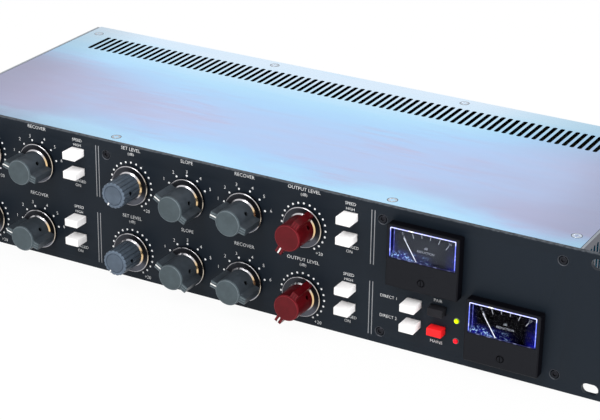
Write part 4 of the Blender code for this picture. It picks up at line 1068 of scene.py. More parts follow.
# Paler knob edges: painted highlights on rims, ribs and bands
KNOB_BLUE_HIGHLIGHT = Moulded("blue_grey_knob_highlight", seen(91, 104, 119), 0.44, specular=0.25)
KNOB_GREY_HIGHLIGHT = Moulded("grey_knob_highlight", seen(98, 108, 114), 0.44, specular=0.25)
KNOB_RED_HIGHLIGHT = Moulded("red_knob_highlight", seen(118, 30, 38), 0.40, specular=0.15)
WHITE_PLASTIC = Moulded("white_button_plastic", seen(250, 248, 248), 0.34, cloud=0.02, specular=0.3)
RED_PLASTIC = Moulded("red_button_plastic", seen(250, 34, 38), 0.34, specular=0.2)
BLACK_PLASTIC = Moulded("black_plastic", seen(34, 34, 38), 0.40)
METER_PLASTIC = MeterCase("black_meter_plastic", seen(32, 33, 37), 0.46, cloud=0.06, specular=0.03)
LINK_PLASTIC = Moulded("dark_button_plastic", seen(34, 34, 38), 0.40, specular=0.10)
PANEL_INK = Ink("pale_panel_ink", seen(250, 251, 252), 0.55)
DIVIDER_INK = Ink("grey_divider_ink", seen(150, 152, 156), 0.55)
REAR_INK = Ink("dark_rear_ink", seen(30, 31, 34), 0.55)
SCALE_INK = Ink("pale_scale_ink", seen(196, 200, 208), 0.55, glow=0.22)
NEEDLE_INK = Ink("white_needle_paint", seen(240, 243, 248), 0.55, glow=0.5)
MARK_INK = Ink("white_knob_mark", seen(240, 240, 238), 0.5)
CLEAR_PANE = ClearPane("clear_meter_pane", (0.96, 0.97, 1.0), 0.03)
# Each: name, colour, roughness, the fans' painted reflection and the warm painted reflection at the right
SPUN_METALS = (
    ("dark_skirt", seen(40, 41, 45), 0.46, seen(92, 94, 102), seen(44, 45, 49)),
    ("rim_metal", seen(196, 194, 198), 0.24, seen(170, 169, 174), seen(218, 204, 186)),
    ("collar_metal", seen(204, 202, 206), 0.20, seen(176, 174, 178), seen(236, 202, 152)),
)


# Pieces

def settled(edited: bmesh.types.BMesh) -> bmesh.types.BMesh:
    """Merges a mesh's doubles and turns its faces outwards."""
    bmesh.ops.remove_doubles(edited, verts=edited.verts, dist=MERGE_DISTANCE)
    bmesh.ops.recalc_face_normals(edited, faces=edited.faces)
    return edited


def as_mesh(surface: Surface) -> bmesh.types.BMesh:
    """Makes a merged, outward mesh of a placed surface, for editing."""
    draft = bpy.data.meshes.new("draft")
    draft.from_pydata(surface.points.tolist(), [], surface.faces.tolist())
    edited = bmesh.new()
    edited.from_mesh(draft)
    bpy.data.meshes.remove(draft)
    return settled(edited)


def as_data(name: str, edited: bmesh.types.BMesh) -> bpy.types.Mesh:
    """Writes a mesh being edited, which is freed, into new mesh data."""
    mesh = bpy.data.meshes.new(name)
    edited.to_mesh(mesh)
    edited.free()
    return mesh


def link(name: str, data: bpy.types.ID) -> bpy.types.Object:
    """Makes an object of some data and puts it into the scene."""
    made = bpy.data.objects.new(name, data)
    bpy.context.scene.collection.objects.link(made)
    return made


def final_mesh(made: bpy.types.Object) -> bpy.types.Mesh:
    """Gives an object's mesh with its modifiers applied, as new mesh data."""
    return bpy.data.meshes.new_from_object(made.evaluated_get(bpy.context.evaluated_depsgraph_get()))


def add_piece(
    name: str,
    shape: Union[Surface, bmesh.types.BMesh],
    finish: Finish,
    body: str = ROOT_BODY,
    stands_for: Sequence[str] = (),
    crease: float = 32.0,
) -> bpy.types.Object:
    """Makes a piece of the object: merges its doubles, turns its faces outwards and dresses it.

    Args:
        name: The piece's own name.
        shape: Its placed surface, or a mesh being edited, which is freed.
        finish: What it is dressed in.
        body: The body that it rides on.
        stands_for: The CAD nodes that it replaces.
        crease: The angle past which an edge stays sharp, in degrees.

    Returns:
        The piece's object.
    """
    mesh = as_data(name, as_mesh(shape) if isinstance(shape, Surface) else settled(shape))
    mesh.shade_smooth()
    mesh.set_sharp_from_angle(angle=math.radians(crease))
    mesh.materials.append(finish.material())
    piece = link(name, mesh)
    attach(piece, body)
    if stands_for:
        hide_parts(*stands_for)
    LOG.info("%s: %d faces on %s", name, len(mesh.polygons), body)
    return piece


def cut_away(shape: bmesh.types.BMesh, cutter: Surface) -> bmesh.types.BMesh:
    """Takes a surface's room out of a mesh with a Boolean, whose helper objects are then removed.

    Args:
        shape: The mesh being edited, which is freed.
        cutter: The closed surface to take away.

    Returns:
        A new mesh being edited.
    """
    kept_mesh, cutter_mesh = as_data("kept", shape), as_data("cutter", as_mesh(cutter))
    kept, tool = link("kept", kept_mesh), link("cutter", cutter_mesh)
    boolean = kept.modifiers.new("cut", "BOOLEAN")
    boolean.object = tool
    boolean.operation = "DIFFERENCE"
    boolean.solver = "EXACT"
    result = final_mesh(kept)
    made = bmesh.new()
    made.from_mesh(result)
    for helper in (kept, tool):
        bpy.data.objects.remove(helper)
    for mesh in (kept_mesh, cutter_mesh, result):
        bpy.data.meshes.remove(mesh)
    return made


def copy_of(node: str) -> bmesh.types.BMesh:
    """Copies a CAD node, for editing, with its loose triangles merged into whole faces."""
    edited = bmesh.new()
    edited.from_mesh(frame["nodes"][node].data)
    bmesh.ops.remove_doubles(edited, verts=edited.verts, dist=2.0 * MERGE_DISTANCE)
    bmesh.ops.dissolve_limit(edited, angle_limit=FLAT_ANGLE, verts=edited.verts, edges=edited.edges)
    return edited


def round_edges(piece: bpy.types.Object, width: float, segments: int = 2) -> None:
    """Rounds a piece's sharp edges with a live Bevel.

    Args:
        piece: The piece.
        width: How wide the rounding is, in millimetres.
        segments: How many faces it has.
    """
    bevel = piece.modifiers.new("rounded edges", "BEVEL")
    bevel.width = width * MM
    bevel.segments = segments
    bevel.limit_method = "ANGLE"
    bevel.angle_limit = BEVEL_ANGLE
    bevel.harden_normals = True


def dress_node(node: str, finish: Finish) -> None:
    """Gives a CAD node that keeps its own shape a material."""
    materials = frame["nodes"][node].data.materials
    materials.clear()
    materials.append(finish.material())
    LOG.info("%s: CAD shape, dressed in %s", node, finish.name)


def middle_of(node: str) -> Point:
    """Gives the middle of a CAD node's box."""
    low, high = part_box(node)
    return tuple((low + high) / 2.0)


def face_of(node: str, depth: float) -> Point:
    """Gives the middle of a CAD node seen from the front, at a place in depth."""
    low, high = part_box(node)
    return (0.5 * (low.x + high.x), depth, 0.5 * (low.z + high.z))


class Lettering:
    """Collects short printed words into one thin raised mesh."""

    thinning = 0.015

    def __init__(self) -> None:
        """Starts with no words."""
        self.mesh = bmesh.new()

    def word(self, text: str, size: float, place: Sequence[float], facing: Facing = Facing.FRONT) -> None:
        """Adds a word, centred on a place.

        Args:
            text: The word or number.
            size: The type size in millimetres.
            place: The word's middle on the surface that carries it, in metres.
            facing: Which way it looks.
        """
        curve = bpy.data.curves.new("word", "FONT")
        curve.body = text
        curve.size = size * MM
        curve.align_x = "CENTER"
        curve.align_y = "CENTER"
        curve.extrude = PRINT_HEIGHT * MM
        curve.offset = -self.thinning * size * MM
        curve.resolution_u = 2
        holder = link("word", curve)
        drawn = final_mesh(holder)
        axes = Matrix(facing.value).transposed().to_4x4()
        drawn.transform(Matrix.Translation(place) @ axes)
        self.mesh.from_mesh(drawn)
        bpy.data.objects.remove(holder)
        bpy.data.curves.remove(curve)
        bpy.data.meshes.remove(drawn)


# Screws

class Recess(Enum):
    """How a screw is driven."""

    HEXAGON = "hexagon"
    CROSS = "cross"
    SLOT = "slot"


@dataclass(frozen=True)
class Screw:
    """A screw's head: its edge, its face and the recess in it."""

    radius: float
    recess: Recess
    face: float = 0.0
    edge: float = 0.25
    seat: float = -1.0
    seat_radius: float = 1.6
    recess_size: float = 2.8
    recess_width: float = 0.7
    recess_depth: float = 0.9
    steps: int = 48

    def surface(self) -> Surface:
        """Stacks the head from its seat to its edge, its face and down into the recess."""
        angles = even_angles(self.steps)
        if self.recess is Recess.HEXAGON:
            reach = hexagon_reach(angles, self.recess_size)
        elif self.recess is Recess.CROSS:
            reach = cross_reach(angles, self.recess_size, self.recess_width)
        else:
            reach = bar_reach(angles, self.recess_size, self.recess_width)
        flat = self.radius - self.edge
        radii = (self.seat_radius, self.radius, self.radius, flat, reach * 1.12, reach, reach * 0.94)
        low_edge = self.face - self.edge
        rim, floor = self.face - 0.12, self.face - self.recess_depth
        heights = (self.seat, low_edge - 0.1, low_edge, self.face, self.face, rim, floor)
        return loft([polar(angles, radius) for radius in radii], heights)


# The front

@dataclass
class FrontPanel:
    """The painted panel and its countersunk black screws."""

    screw_places: tuple[Pair, ...] = (
        (-211.3, 79.9), (-211.3, 9.5), (-88.7, 78.9), (-88.7, 7.6),
        (101.4, 79.2), (101.9, 7.6), (211.3, 79.9), (211.3, 9.5),
    )
    screw: Screw = Screw(2.6, Recess.HEXAGON, face=-0.2, edge=0.5, recess_size=2.3, recess_depth=1.1)
    sink: Profile = ((0.0, -1.3), (1.7, -1.3), (3.1, 0.0), (3.1, 0.4), (0.0, 0.4))
    sink_rim: Profile = ((2.62, -0.52), (3.08, -0.06), (3.16, 0.02), (3.04, 0.03), (2.62, -0.52))
    edge: float = 0.25

    def build(self) -> None:
        """Makes the panel, its screws and the rims of their sinks, pale as a painted highlight."""
        places = [(across, up, 0.0) for across, up in self.screw_places]
        sinks = revolve(self.sink, 36).repeated(places).placed(PANEL_ORIGIN)
        plate = cut_away(copy_of("front_panel"), sinks)
        piece = add_piece("panel_plate", plate, PANEL_PAINT, stands_for=["front_panel"])
        round_edges(piece, self.edge)
        screws = self.screw.surface().repeated(places)
        add_piece("panel_screws", screws.placed(PANEL_ORIGIN), SCREW_BLACK_AND_SHADE)
        rims = revolve(self.sink_rim, 40).repeated(places)
        add_piece("panel_screw_sinks", rims.placed(PANEL_ORIGIN), SINK_HIGHLIGHT_METAL)


class Grip(Enum):
    """The two shapes of a knob's grip."""

    FLUTED = "fluted"
    WINGED = "winged"


@dataclass
class Knob:
    """A skirted knob: skirt, two bright rings, dark grip, paler crown, set screw and pointing line.

    A mark is given by its length and its place along the pointer, and a bore or a sleeve by its two ends.
    """

    node: str
    grip: Grip
    side_finish: Finish
    cap_finish: Finish
    edge_finish: Finish
    slot: str
    rest: float
    screw_turn: float
    screw_height: float
    height: float = 20.2
    skirt_radius: float = 12.8
    skirt_low: float = 0.6
    skirt_top: float = 2.4
    collar_radius: float = 9.3
    collar_top: float = 3.5
    base_radius: float = 8.6
    cap_radius: float = 8.3
    flutes: int = 18
    flute_depth: float = 0.75
    flute_power: float = 0.45
    rim_width: float = 0.36
    wing_length: float = 24.8
    wing_width: float = 4.4
    wing_drop: float = 0.55
    wing_blend: float = 13.0
    disc_step: float = 0.4
    groove_radius: float = 6.1
    crown_band: float = 0.6
    wing_band: float = 0.45
    wing_edge: float = 0.25
    rib_size: Pair = (0.42, 3.6)
    rib_place: Pair = (1.6, 10.3)
    mark_width: float = 0.9
    mark_proud: float = 0.05
    wing_mark: Pair = (4.3, 10.15)
    crown_mark: Pair = (1.7, 7.0)
    screw_radius: float = 1.4
    screw_bore: Pair = (4.7, 11.0)
    # The black sleeve in the set screw's bore is painted shade
    sleeve: Pair = (5.8, 7.6)
    ring_steps: int = 64

    def outline(self, radius: float, trim: float = 0.0) -> np.ndarray:
        """Goes round the grip: its round body blended with its bar, or lobes on the body.

        A lobe's radius is r - d + d |cos(n t / 2)| ^ p, with n flutes of depth d and power p. The wings
        leave the body in a fillet: (r ^ q + b ^ q) ^ (1 / q), with the bar's reach b and a high power q.

        Args:
            radius: The body's radius r.
            trim: How much smaller the bar is on each side.

        Returns:
            The closed outline, with the pointer up.
        """
        if self.grip is Grip.FLUTED:
            angles = even_angles(self.flutes * 8)
            lobes = np.abs(np.cos(self.flutes * (angles - math.pi / 2) / 2)) ** self.flute_power
            return polar(angles, radius - self.flute_depth * (1.0 - lobes))
        tip = math.atan2(self.wing_length, self.wing_width)
        angles = even_angles(144, [sign * angle for angle in (tip, math.pi - tip) for sign in (1, -1)])
        bar = bar_reach(angles, self.wing_length - 2.0 * trim, self.wing_width - 2.0 * trim)
        blended = (radius ** self.wing_blend + bar ** self.wing_blend) ** (1.0 / self.wing_blend)
        return polar(angles, np.minimum(blended, np.maximum(bar, radius * 2.0 ** (1.0 / self.wing_blend))))

    def disc(self, radius: float) -> np.ndarray:
        """Gives a round outline with as many points as the grip's."""
        outline = self.outline(radius)
        return radius * outline / np.linalg.norm(outline, axis=1, keepdims=True)

    def crown_start(self) -> float:
        """Gives the height at which the paler crown begins."""
        winged = self.grip is Grip.WINGED
        return self.height - (self.wing_drop + self.wing_band if winged else self.crown_band)

    def side_surface(self) -> Surface:
        """Stacks the grip's dark side, which narrows from the collar to the crown."""
        outlines = [self.outline(self.base_radius), self.outline(self.cap_radius + 0.03)]
        return loft(outlines, [self.skirt_top - 0.2, self.crown_start()])

    def crown_surface(self) -> Surface:
        """Stacks the crown: the grip's outline, its softened edge, and the disc or the groove in it."""
        start, top, radius = self.crown_start(), self.height, self.cap_radius
        if self.grip is Grip.WINGED:
            wing_top, disc = top - self.wing_drop, radius - self.disc_step
            body = self.outline(radius)
            rings = [body, body, self.outline(radius - 0.2, self.wing_edge)]
            rings += [self.disc(disc - inset) for inset in (0.0, 0.1, 0.28)]
            heights = [start, wing_top - self.wing_edge, wing_top, wing_top, top - 0.38, top - 0.05]
            return loft(rings, heights)
        face = top - self.mark_proud - 0.03
        rings = [self.outline(radius), self.outline(radius - 0.05), self.outline(radius - 0.5)]
        rings += [self.disc(self.groove_radius + shift) for shift in (0.35, 0.1, -0.1, -0.35)]
        return loft(rings, [start, face - 0.45, face, face, face - 0.4, face - 0.4, face])

    def edge_surface(self) -> Surface:
        """Makes what is paler as a painted highlight: the disc's rim and the wings' ribs, or the band with
        the lobes.
        """
        top = self.height
        if self.grip is Grip.FLUTED:
            face, radius = top - self.mark_proud - 0.02, self.cap_radius
            inner = self.disc(self.groove_radius + 0.38)
            outer = self.outline(radius - 0.04)
            rings = [outer, self.outline(radius - 0.4), inner, inner, outer]
            return loft(rings, [face - 0.5, face, face, face - 0.5, face - 0.5], capped=False)
        disc, wing_top = self.cap_radius - self.disc_step, top - self.wing_drop
        rim = revolve([
            (disc, top - 0.42), (disc - 0.06, top - 0.10), (disc - 0.2, top), (disc - 0.36, top - 0.03),
            (disc - 0.36, top - 0.42), (disc, top - 0.42),
        ], 72)
        rib = carry(rounded_rectangle(*self.rib_size, 0.1, 2), [(0.0, -0.1), (0.0, 0.1), (0.08, 0.18)])
        aside, along = self.rib_place
        places = [(side * aside, end * along, wing_top) for end in (-1, 1) for side in (-1, 1)]
        return Surface.joined([rim, rib.repeated(places + [(0.0, -along, wing_top)])])

    def mark_surface(self) -> Surface:
        """Makes the white line: along the pointing wing, or short at a fluted crown's rim."""
        winged = self.grip is Grip.WINGED
        length, middle = self.wing_mark if winged else self.crown_mark
        face = self.height - (self.wing_drop if winged else self.mark_proud)
        profile = [(0.0, -0.1), (0.0, 0.02), (0.05, self.mark_proud)]
        line = carry(rounded_rectangle(self.mark_width, length, 0.2, 3), profile)
        return line.repeated([(0.0, middle, face)])

    def upwards(self, surface: Surface) -> Surface:
        """Lays a turned surface along up, at the height of the set screw: (a, o, u + h)."""
        across, up, out = surface.points.T
        return Surface(np.stack([across, out, up + self.screw_height], axis=1), surface.faces)

    def set_screw_surface(self) -> Surface:
        """Makes the set screw with its hexagon recess, at the bottom of a plain black sleeve that lines the
        bore as painted shade.
        """
        screw = Screw(
            self.screw_radius - 0.02, Recess.HEXAGON, face=6.0, edge=0.15, seat=4.8, seat_radius=0.9,
            recess_size=1.3, recess_depth=0.8, steps=24,
        )
        outer, inner = self.screw_radius - 0.01, self.screw_radius - 0.12
        low, top = self.sleeve
        sleeve = revolve([(outer, low), (outer, top), (inner, top), (inner, low), (outer, low)], 24)
        return self.upwards(Surface.joined([screw.surface(), sleeve]))

    def ring_profiles(self) -> tuple[list[Pair], list[Pair], list[Pair]]:
        """Gives the profiles of the skirt, of its bright rim and of the bright collar."""
        low, top, skirt, collar = self.skirt_low, self.skirt_top, self.skirt_radius, self.collar_radius
        rim = self.rim_width
        skirt_profile = [(0.0, low), (skirt, low), (skirt, top - rim), (skirt - rim, top), (0.0, top)]
        rim_profile = [
            (skirt - 0.5 * rim, top - rim), (skirt, top - rim - 0.1), (skirt, top - rim + 0.1),
            (skirt - rim + 0.1, top + 0.02), (skirt - rim - 0.1, top + 0.02),
            (skirt - rim - 0.1, top - 0.2), (skirt - 0.5 * rim, top - rim),
        ]
        collar_profile = [
            (collar - 0.2, top - 0.1), (collar, top), (collar, top + 0.2),
            (collar - 0.55, self.collar_top - 0.25), (collar - 0.8, self.collar_top),
            (self.base_radius - 0.5, self.collar_top), (self.base_radius - 0.5, top - 0.1),
            (collar - 0.2, top - 0.1),
        ]
        return skirt_profile, rim_profile, collar_profile

    def build(self) -> None:
        """Makes the knob's pieces, which all turn with its body."""
        centre = (JOINT_PLACES[self.node][0], PANEL_FACE, JOINT_PLACES[self.node][2])
        low, top = self.screw_bore
        hole = revolve([(0.0, low), (self.screw_radius, low), (self.screw_radius, top), (0.0, top)], 20)
        cutter = self.upwards(hole).turned(self.rest + self.screw_turn).placed(centre)
        side = self.side_surface().turned(self.rest).placed(centre)
        bored = cut_away(as_mesh(side), cutter)
        add_piece(
            f"{self.node}_grip", bored, self.side_finish, self.node, [self.node], crease=28.0,
        )
        skirt, rim, collar = (revolve(profile, self.ring_steps) for profile in self.ring_profiles())
        dark, rim_metal, collar_metal = (
            Spun(f"{self.node}_{name}", colour, roughness, centre, fan, warm)
            for name, colour, roughness, fan, warm in SPUN_METALS
        )
        for label, surface, finish in (
            ("skirt", skirt, dark),
            ("rim", rim, rim_metal),
            ("collar", collar, collar_metal),
            ("crown", self.crown_surface(), self.cap_finish),
            ("edges", self.edge_surface(), self.edge_finish),
            ("mark", self.mark_surface(), MARK_INK),
            ("set_screw", self.set_screw_surface().turned(self.screw_turn), SCREW_BLACK_AND_SHADE),
        ):
            placed = surface.turned(self.rest).placed(centre)
            add_piece(f"{self.node}_{label}", placed, finish, self.node)


@dataclass
class PushButton:
    """A rectangular button with softened edges, on the stem that works its switch."""

    node: str
    finish: Finish
    slot: str
    corner: float = 0.5
    soft: float = 0.4
    cap_length: float = 15.5
    stem_size: float = 2.4

    def build(self) -> None:
        """Carries the softened profile round the button's own rectangle, and adds its stem."""
        low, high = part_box(self.node)
        width, height = (high.x - low.x) / MM, (high.z - low.z) / MM
        length = (high.y - low.y) / MM
        outline = rounded_rectangle(width, height, self.corner)
        bend = np.linspace(0.0, math.pi / 2, 4)
        edge = [(self.soft * (1.0 - math.cos(t)), self.soft * (math.sin(t) - 1.0)) for t in bend]
        profile = [(0.0, -self.cap_length)] + edge
        square = rounded_rectangle(self.stem_size, self.stem_size, 0.3, 3)
        stem = carry(square, [(0.0, -length), (0.0, 0.1 - self.cap_length)])
        front = face_of(self.node, low.y)
        both = Surface.joined([carry(outline, profile), stem]).placed(front)
        add_piece(f"{self.node}_cap", both, self.finish, self.node, [self.node])


@dataclass
class Lamp:
    """A small round lamp: a domed lens in a thin dark rim."""

    node: str
    colour: Colour
    rim_colour: Colour
    radius: float = 1.5
    proud: float = 1.6

    def build(self) -> None:
        """Turns the lens, a quarter ellipse on a short barrel, and its rim."""
        centre = face_of(self.node, PANEL_FACE)
        bend = np.linspace(0.0, math.pi / 2, 8)
        dome = [(self.radius * math.cos(t), 0.5 + (self.proud - 0.5) * math.sin(t)) for t in bend]
        lens = revolve([(0.0, -2.0), (self.radius, -2.0)] + dome, 28)
        middle = (centre[0], centre[1] - self.proud * MM, centre[2])
        finish = Lit(f"{self.node}_glow", self.colour, 0.25, self.rim_colour, middle, self.radius * 1.25)
        placed = lens.placed(centre)
        add_piece(f"{self.node}_lens", placed, finish, ROOT_BODY, [self.node])
        inner, outer = self.radius, self.radius + 0.45
        ring = [(inner, -0.2), (outer, -0.2), (outer, 0.15), (inner + 0.1, 0.3), (inner, -0.2)]
        add_piece(f"{self.node}_rim", revolve(ring, 28).placed(centre), BLACK_PLASTIC)


@dataclass
class Meter:
    """A dial meter: moulded case, clear window with lit edges, dial card, scale and white needle."""

    number: int
    left_light: float
    right_light: float
    edge: float = 0.18
    light_width: float = 0.38
    box_drop: float = 4.0
    card_colour: Colour = seen(20, 21, 28)
    tick_angles: tuple[float, ...] = (-33.0, -19.8, -6.6, 6.6, 19.8, 33.0)
    tick_inner: float = 22.6
    tick_outer: float = 25.8
    tick_labels: tuple[str, ...] = ("0", "", "", "", "", "20")
    tick_width: float = 0.30
    label_reach: float = 27.2
    label_size: float = 2.2
    card_words: tuple[tuple[str, float, float], ...] = (("dB", 2.2, 16.7), ("REDUCTION", 1.9, 14.1))
    needle_side: Profile = ((0.23, -4.0), (0.23, 4.0), (0.11, 25.0))
    needle_profile: Profile = ((0.0, -1.05), (0.0, -0.65), (0.1, -0.55))
    needle_rest: float = -32.0
    hub_radius: float = 1.7

    def node(self, part: str) -> str:
        """Gives the name of one of the meter's CAD nodes."""
        return f"meter_{self.number}_{part}"

    def build(self) -> None:
        """Makes the meter's pieces from the case outwards."""
        case = add_piece(
            self.node("bezel"), copy_of(self.node("case")), METER_PLASTIC, ROOT_BODY,
            [self.node("case")],
        )
        round_edges(case, self.edge)
        dress_node(self.node("window"), CLEAR_PANE)
        self.build_light()
        self.build_scale()
        self.build_needle()
        self.build_zero_screw()

    def build_light(self) -> None:
        """Dresses the dial and adds the lit edge of the window and the box of light behind it."""
        low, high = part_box(self.node("window"))
        card_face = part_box(self.node("dial"))[0].y
        middle = face_of(self.node("window"), 0.0)
        half = ((high.x - low.x) / 2.0 / MM, (high.z - low.z) / 2.0 / MM)
        dial = LampHousing(
            self.node("dial_card"), self.card_colour, 0.5, middle, half,
            left_share=self.left_light, right_share=self.right_light,
        )
        dress_node(self.node("dial"), dial)
        outline = rounded_rectangle(2.0 * half[0], 2.0 * half[1], 0.5, 4)
        ring = [
            (0.0, -0.3), (0.0, 0.03), (0.15, 0.08), (self.light_width - 0.1, 0.08),
            (self.light_width, 0.03), (self.light_width, -0.3), (0.0, -0.3),
        ]
        front = (middle[0], low.y, middle[2])
        glint = (middle[0] - 0.36 * half[0] * MM, 0.0, high.z)
        glow = EdgeLight(self.node("edge_glow"), seen(214, 216, 255), 0.4, middle, half[1], glint=glint)
        lit = carry(outline, ring, capped=False).placed(front)
        add_piece(self.node("window_light"), lit, glow)
        behind = -(high.y - low.y) / MM - 0.05
        card = -(card_face - low.y) / MM + 0.05
        wall = [(0.0, behind), (0.0, card), (0.25, card), (0.25, behind), (0.0, behind)]
        tall = rounded_rectangle(2.0 * half[0], 2.0 * half[1] + self.box_drop, 0.5, 4)
        lowered = (middle[0], low.y, middle[2] - 0.5 * self.box_drop * MM)
        inner = LampHousing(
            self.node("box_glow"), seen(14, 14, 28), 0.45, middle, half, light=seen(46, 54, 204),
            left_share=0.5 * self.left_light, right_share=0.5, haze=0.05,
        )
        box = carry(tall, wall, capped=False).placed(lowered)
        add_piece(self.node("light_box"), box, inner)
        line = [(0.25, card), (0.25, card + 0.1), (0.6, card + 0.1), (0.6, card), (0.25, card)]
        dim = EdgeLight(
            self.node("inner_glow"), seen(120, 122, 176), 0.4, middle, half[1],
            side_colour=seen(78, 78, 160), spark=seen(120, 136, 220), glint=glint,
        )
        inner_line = carry(tall, line, capped=False).placed(lowered)
        add_piece(self.node("inner_light"), inner_line, dim)

    def pivot(self, out: float) -> Point:
        """Gives the needle's pivot, at a place in depth."""
        place = JOINT_PLACES[self.node("needle")]
        return (place[0], out, place[2])

    def build_scale(self) -> None:
        """Prints the ticks, turned about the pivot, with the numbers above them and the words below."""
        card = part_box(self.node("dial"))[0].y
        length = self.tick_outer - self.tick_inner
        mark = rounded_rectangle(self.tick_width, length, 0.1, 2)
        tick = carry(mark, [(0.0, -0.02), (0.0, PRINT_HEIGHT)])
        raised = tick.repeated([(0.0, 0.5 * (self.tick_inner + self.tick_outer), 0.0)])
        ticks = Surface.joined([raised.turned(angle) for angle in self.tick_angles])
        print_mesh = Lettering()
        pivot = self.pivot(card)
        for angle, label in zip(self.tick_angles, self.tick_labels):
            turn = math.radians(angle)
            place = (
                pivot[0] + self.label_reach * MM * math.sin(turn), card,
                pivot[2] + self.label_reach * MM * math.cos(turn),
            )
            if label:
                print_mesh.word(label, self.label_size, place)
        for text, size, rise in self.card_words:
            print_mesh.word(text, size, (pivot[0], card, pivot[2] + rise * MM))
        add_piece(self.node("numbers"), print_mesh.mesh, SCALE_INK)
        add_piece(self.node("ticks"), ticks.placed(pivot), SCALE_INK)

    def build_needle(self) -> None:
        """Makes the needle: a thin tapered blade on a round hub."""
        low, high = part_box(self.node("needle"))
        thickness = (high.y - low.y) / MM
        left = [(-across, up) for across, up in reversed(self.needle_side)]
        pointer = carry(np.array([*self.needle_side, *left]), self.needle_profile)
        radius, soft = self.hub_radius, 0.3
        hub = revolve([
            (0.0, -thickness), (radius, -thickness), (radius, -soft), (radius - soft, 0.0), (0.0, 0.0),
        ], 32)
        needle = Surface.joined([pointer, hub]).turned(self.needle_rest)
        placed = needle.placed(self.pivot(low.y))
        node = self.node("needle")
        add_piece(self.node("pointer"), placed, NEEDLE_INK, node, [node])

    def build_zero_screw(self) -> None:
        """Makes the slotted screw below the window that sets the needle's zero."""
        low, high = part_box(self.node("zero_screw"))
        length = (high.y - low.y) / MM
        radius = 0.5 * (high.x - low.x) / MM
        head = Screw(
            radius, Recess.SLOT, face=0.0, edge=0.3, seat=-length, seat_radius=radius * 0.6,
            recess_size=2.0 * radius * 0.8, recess_width=0.6, recess_depth=0.5,
        )
        node = self.node("zero_screw")
        placed = head.surface().placed(face_of(node, low.y))
        add_piece(f"{node}_head", placed, METER_PLASTIC, node, [node])


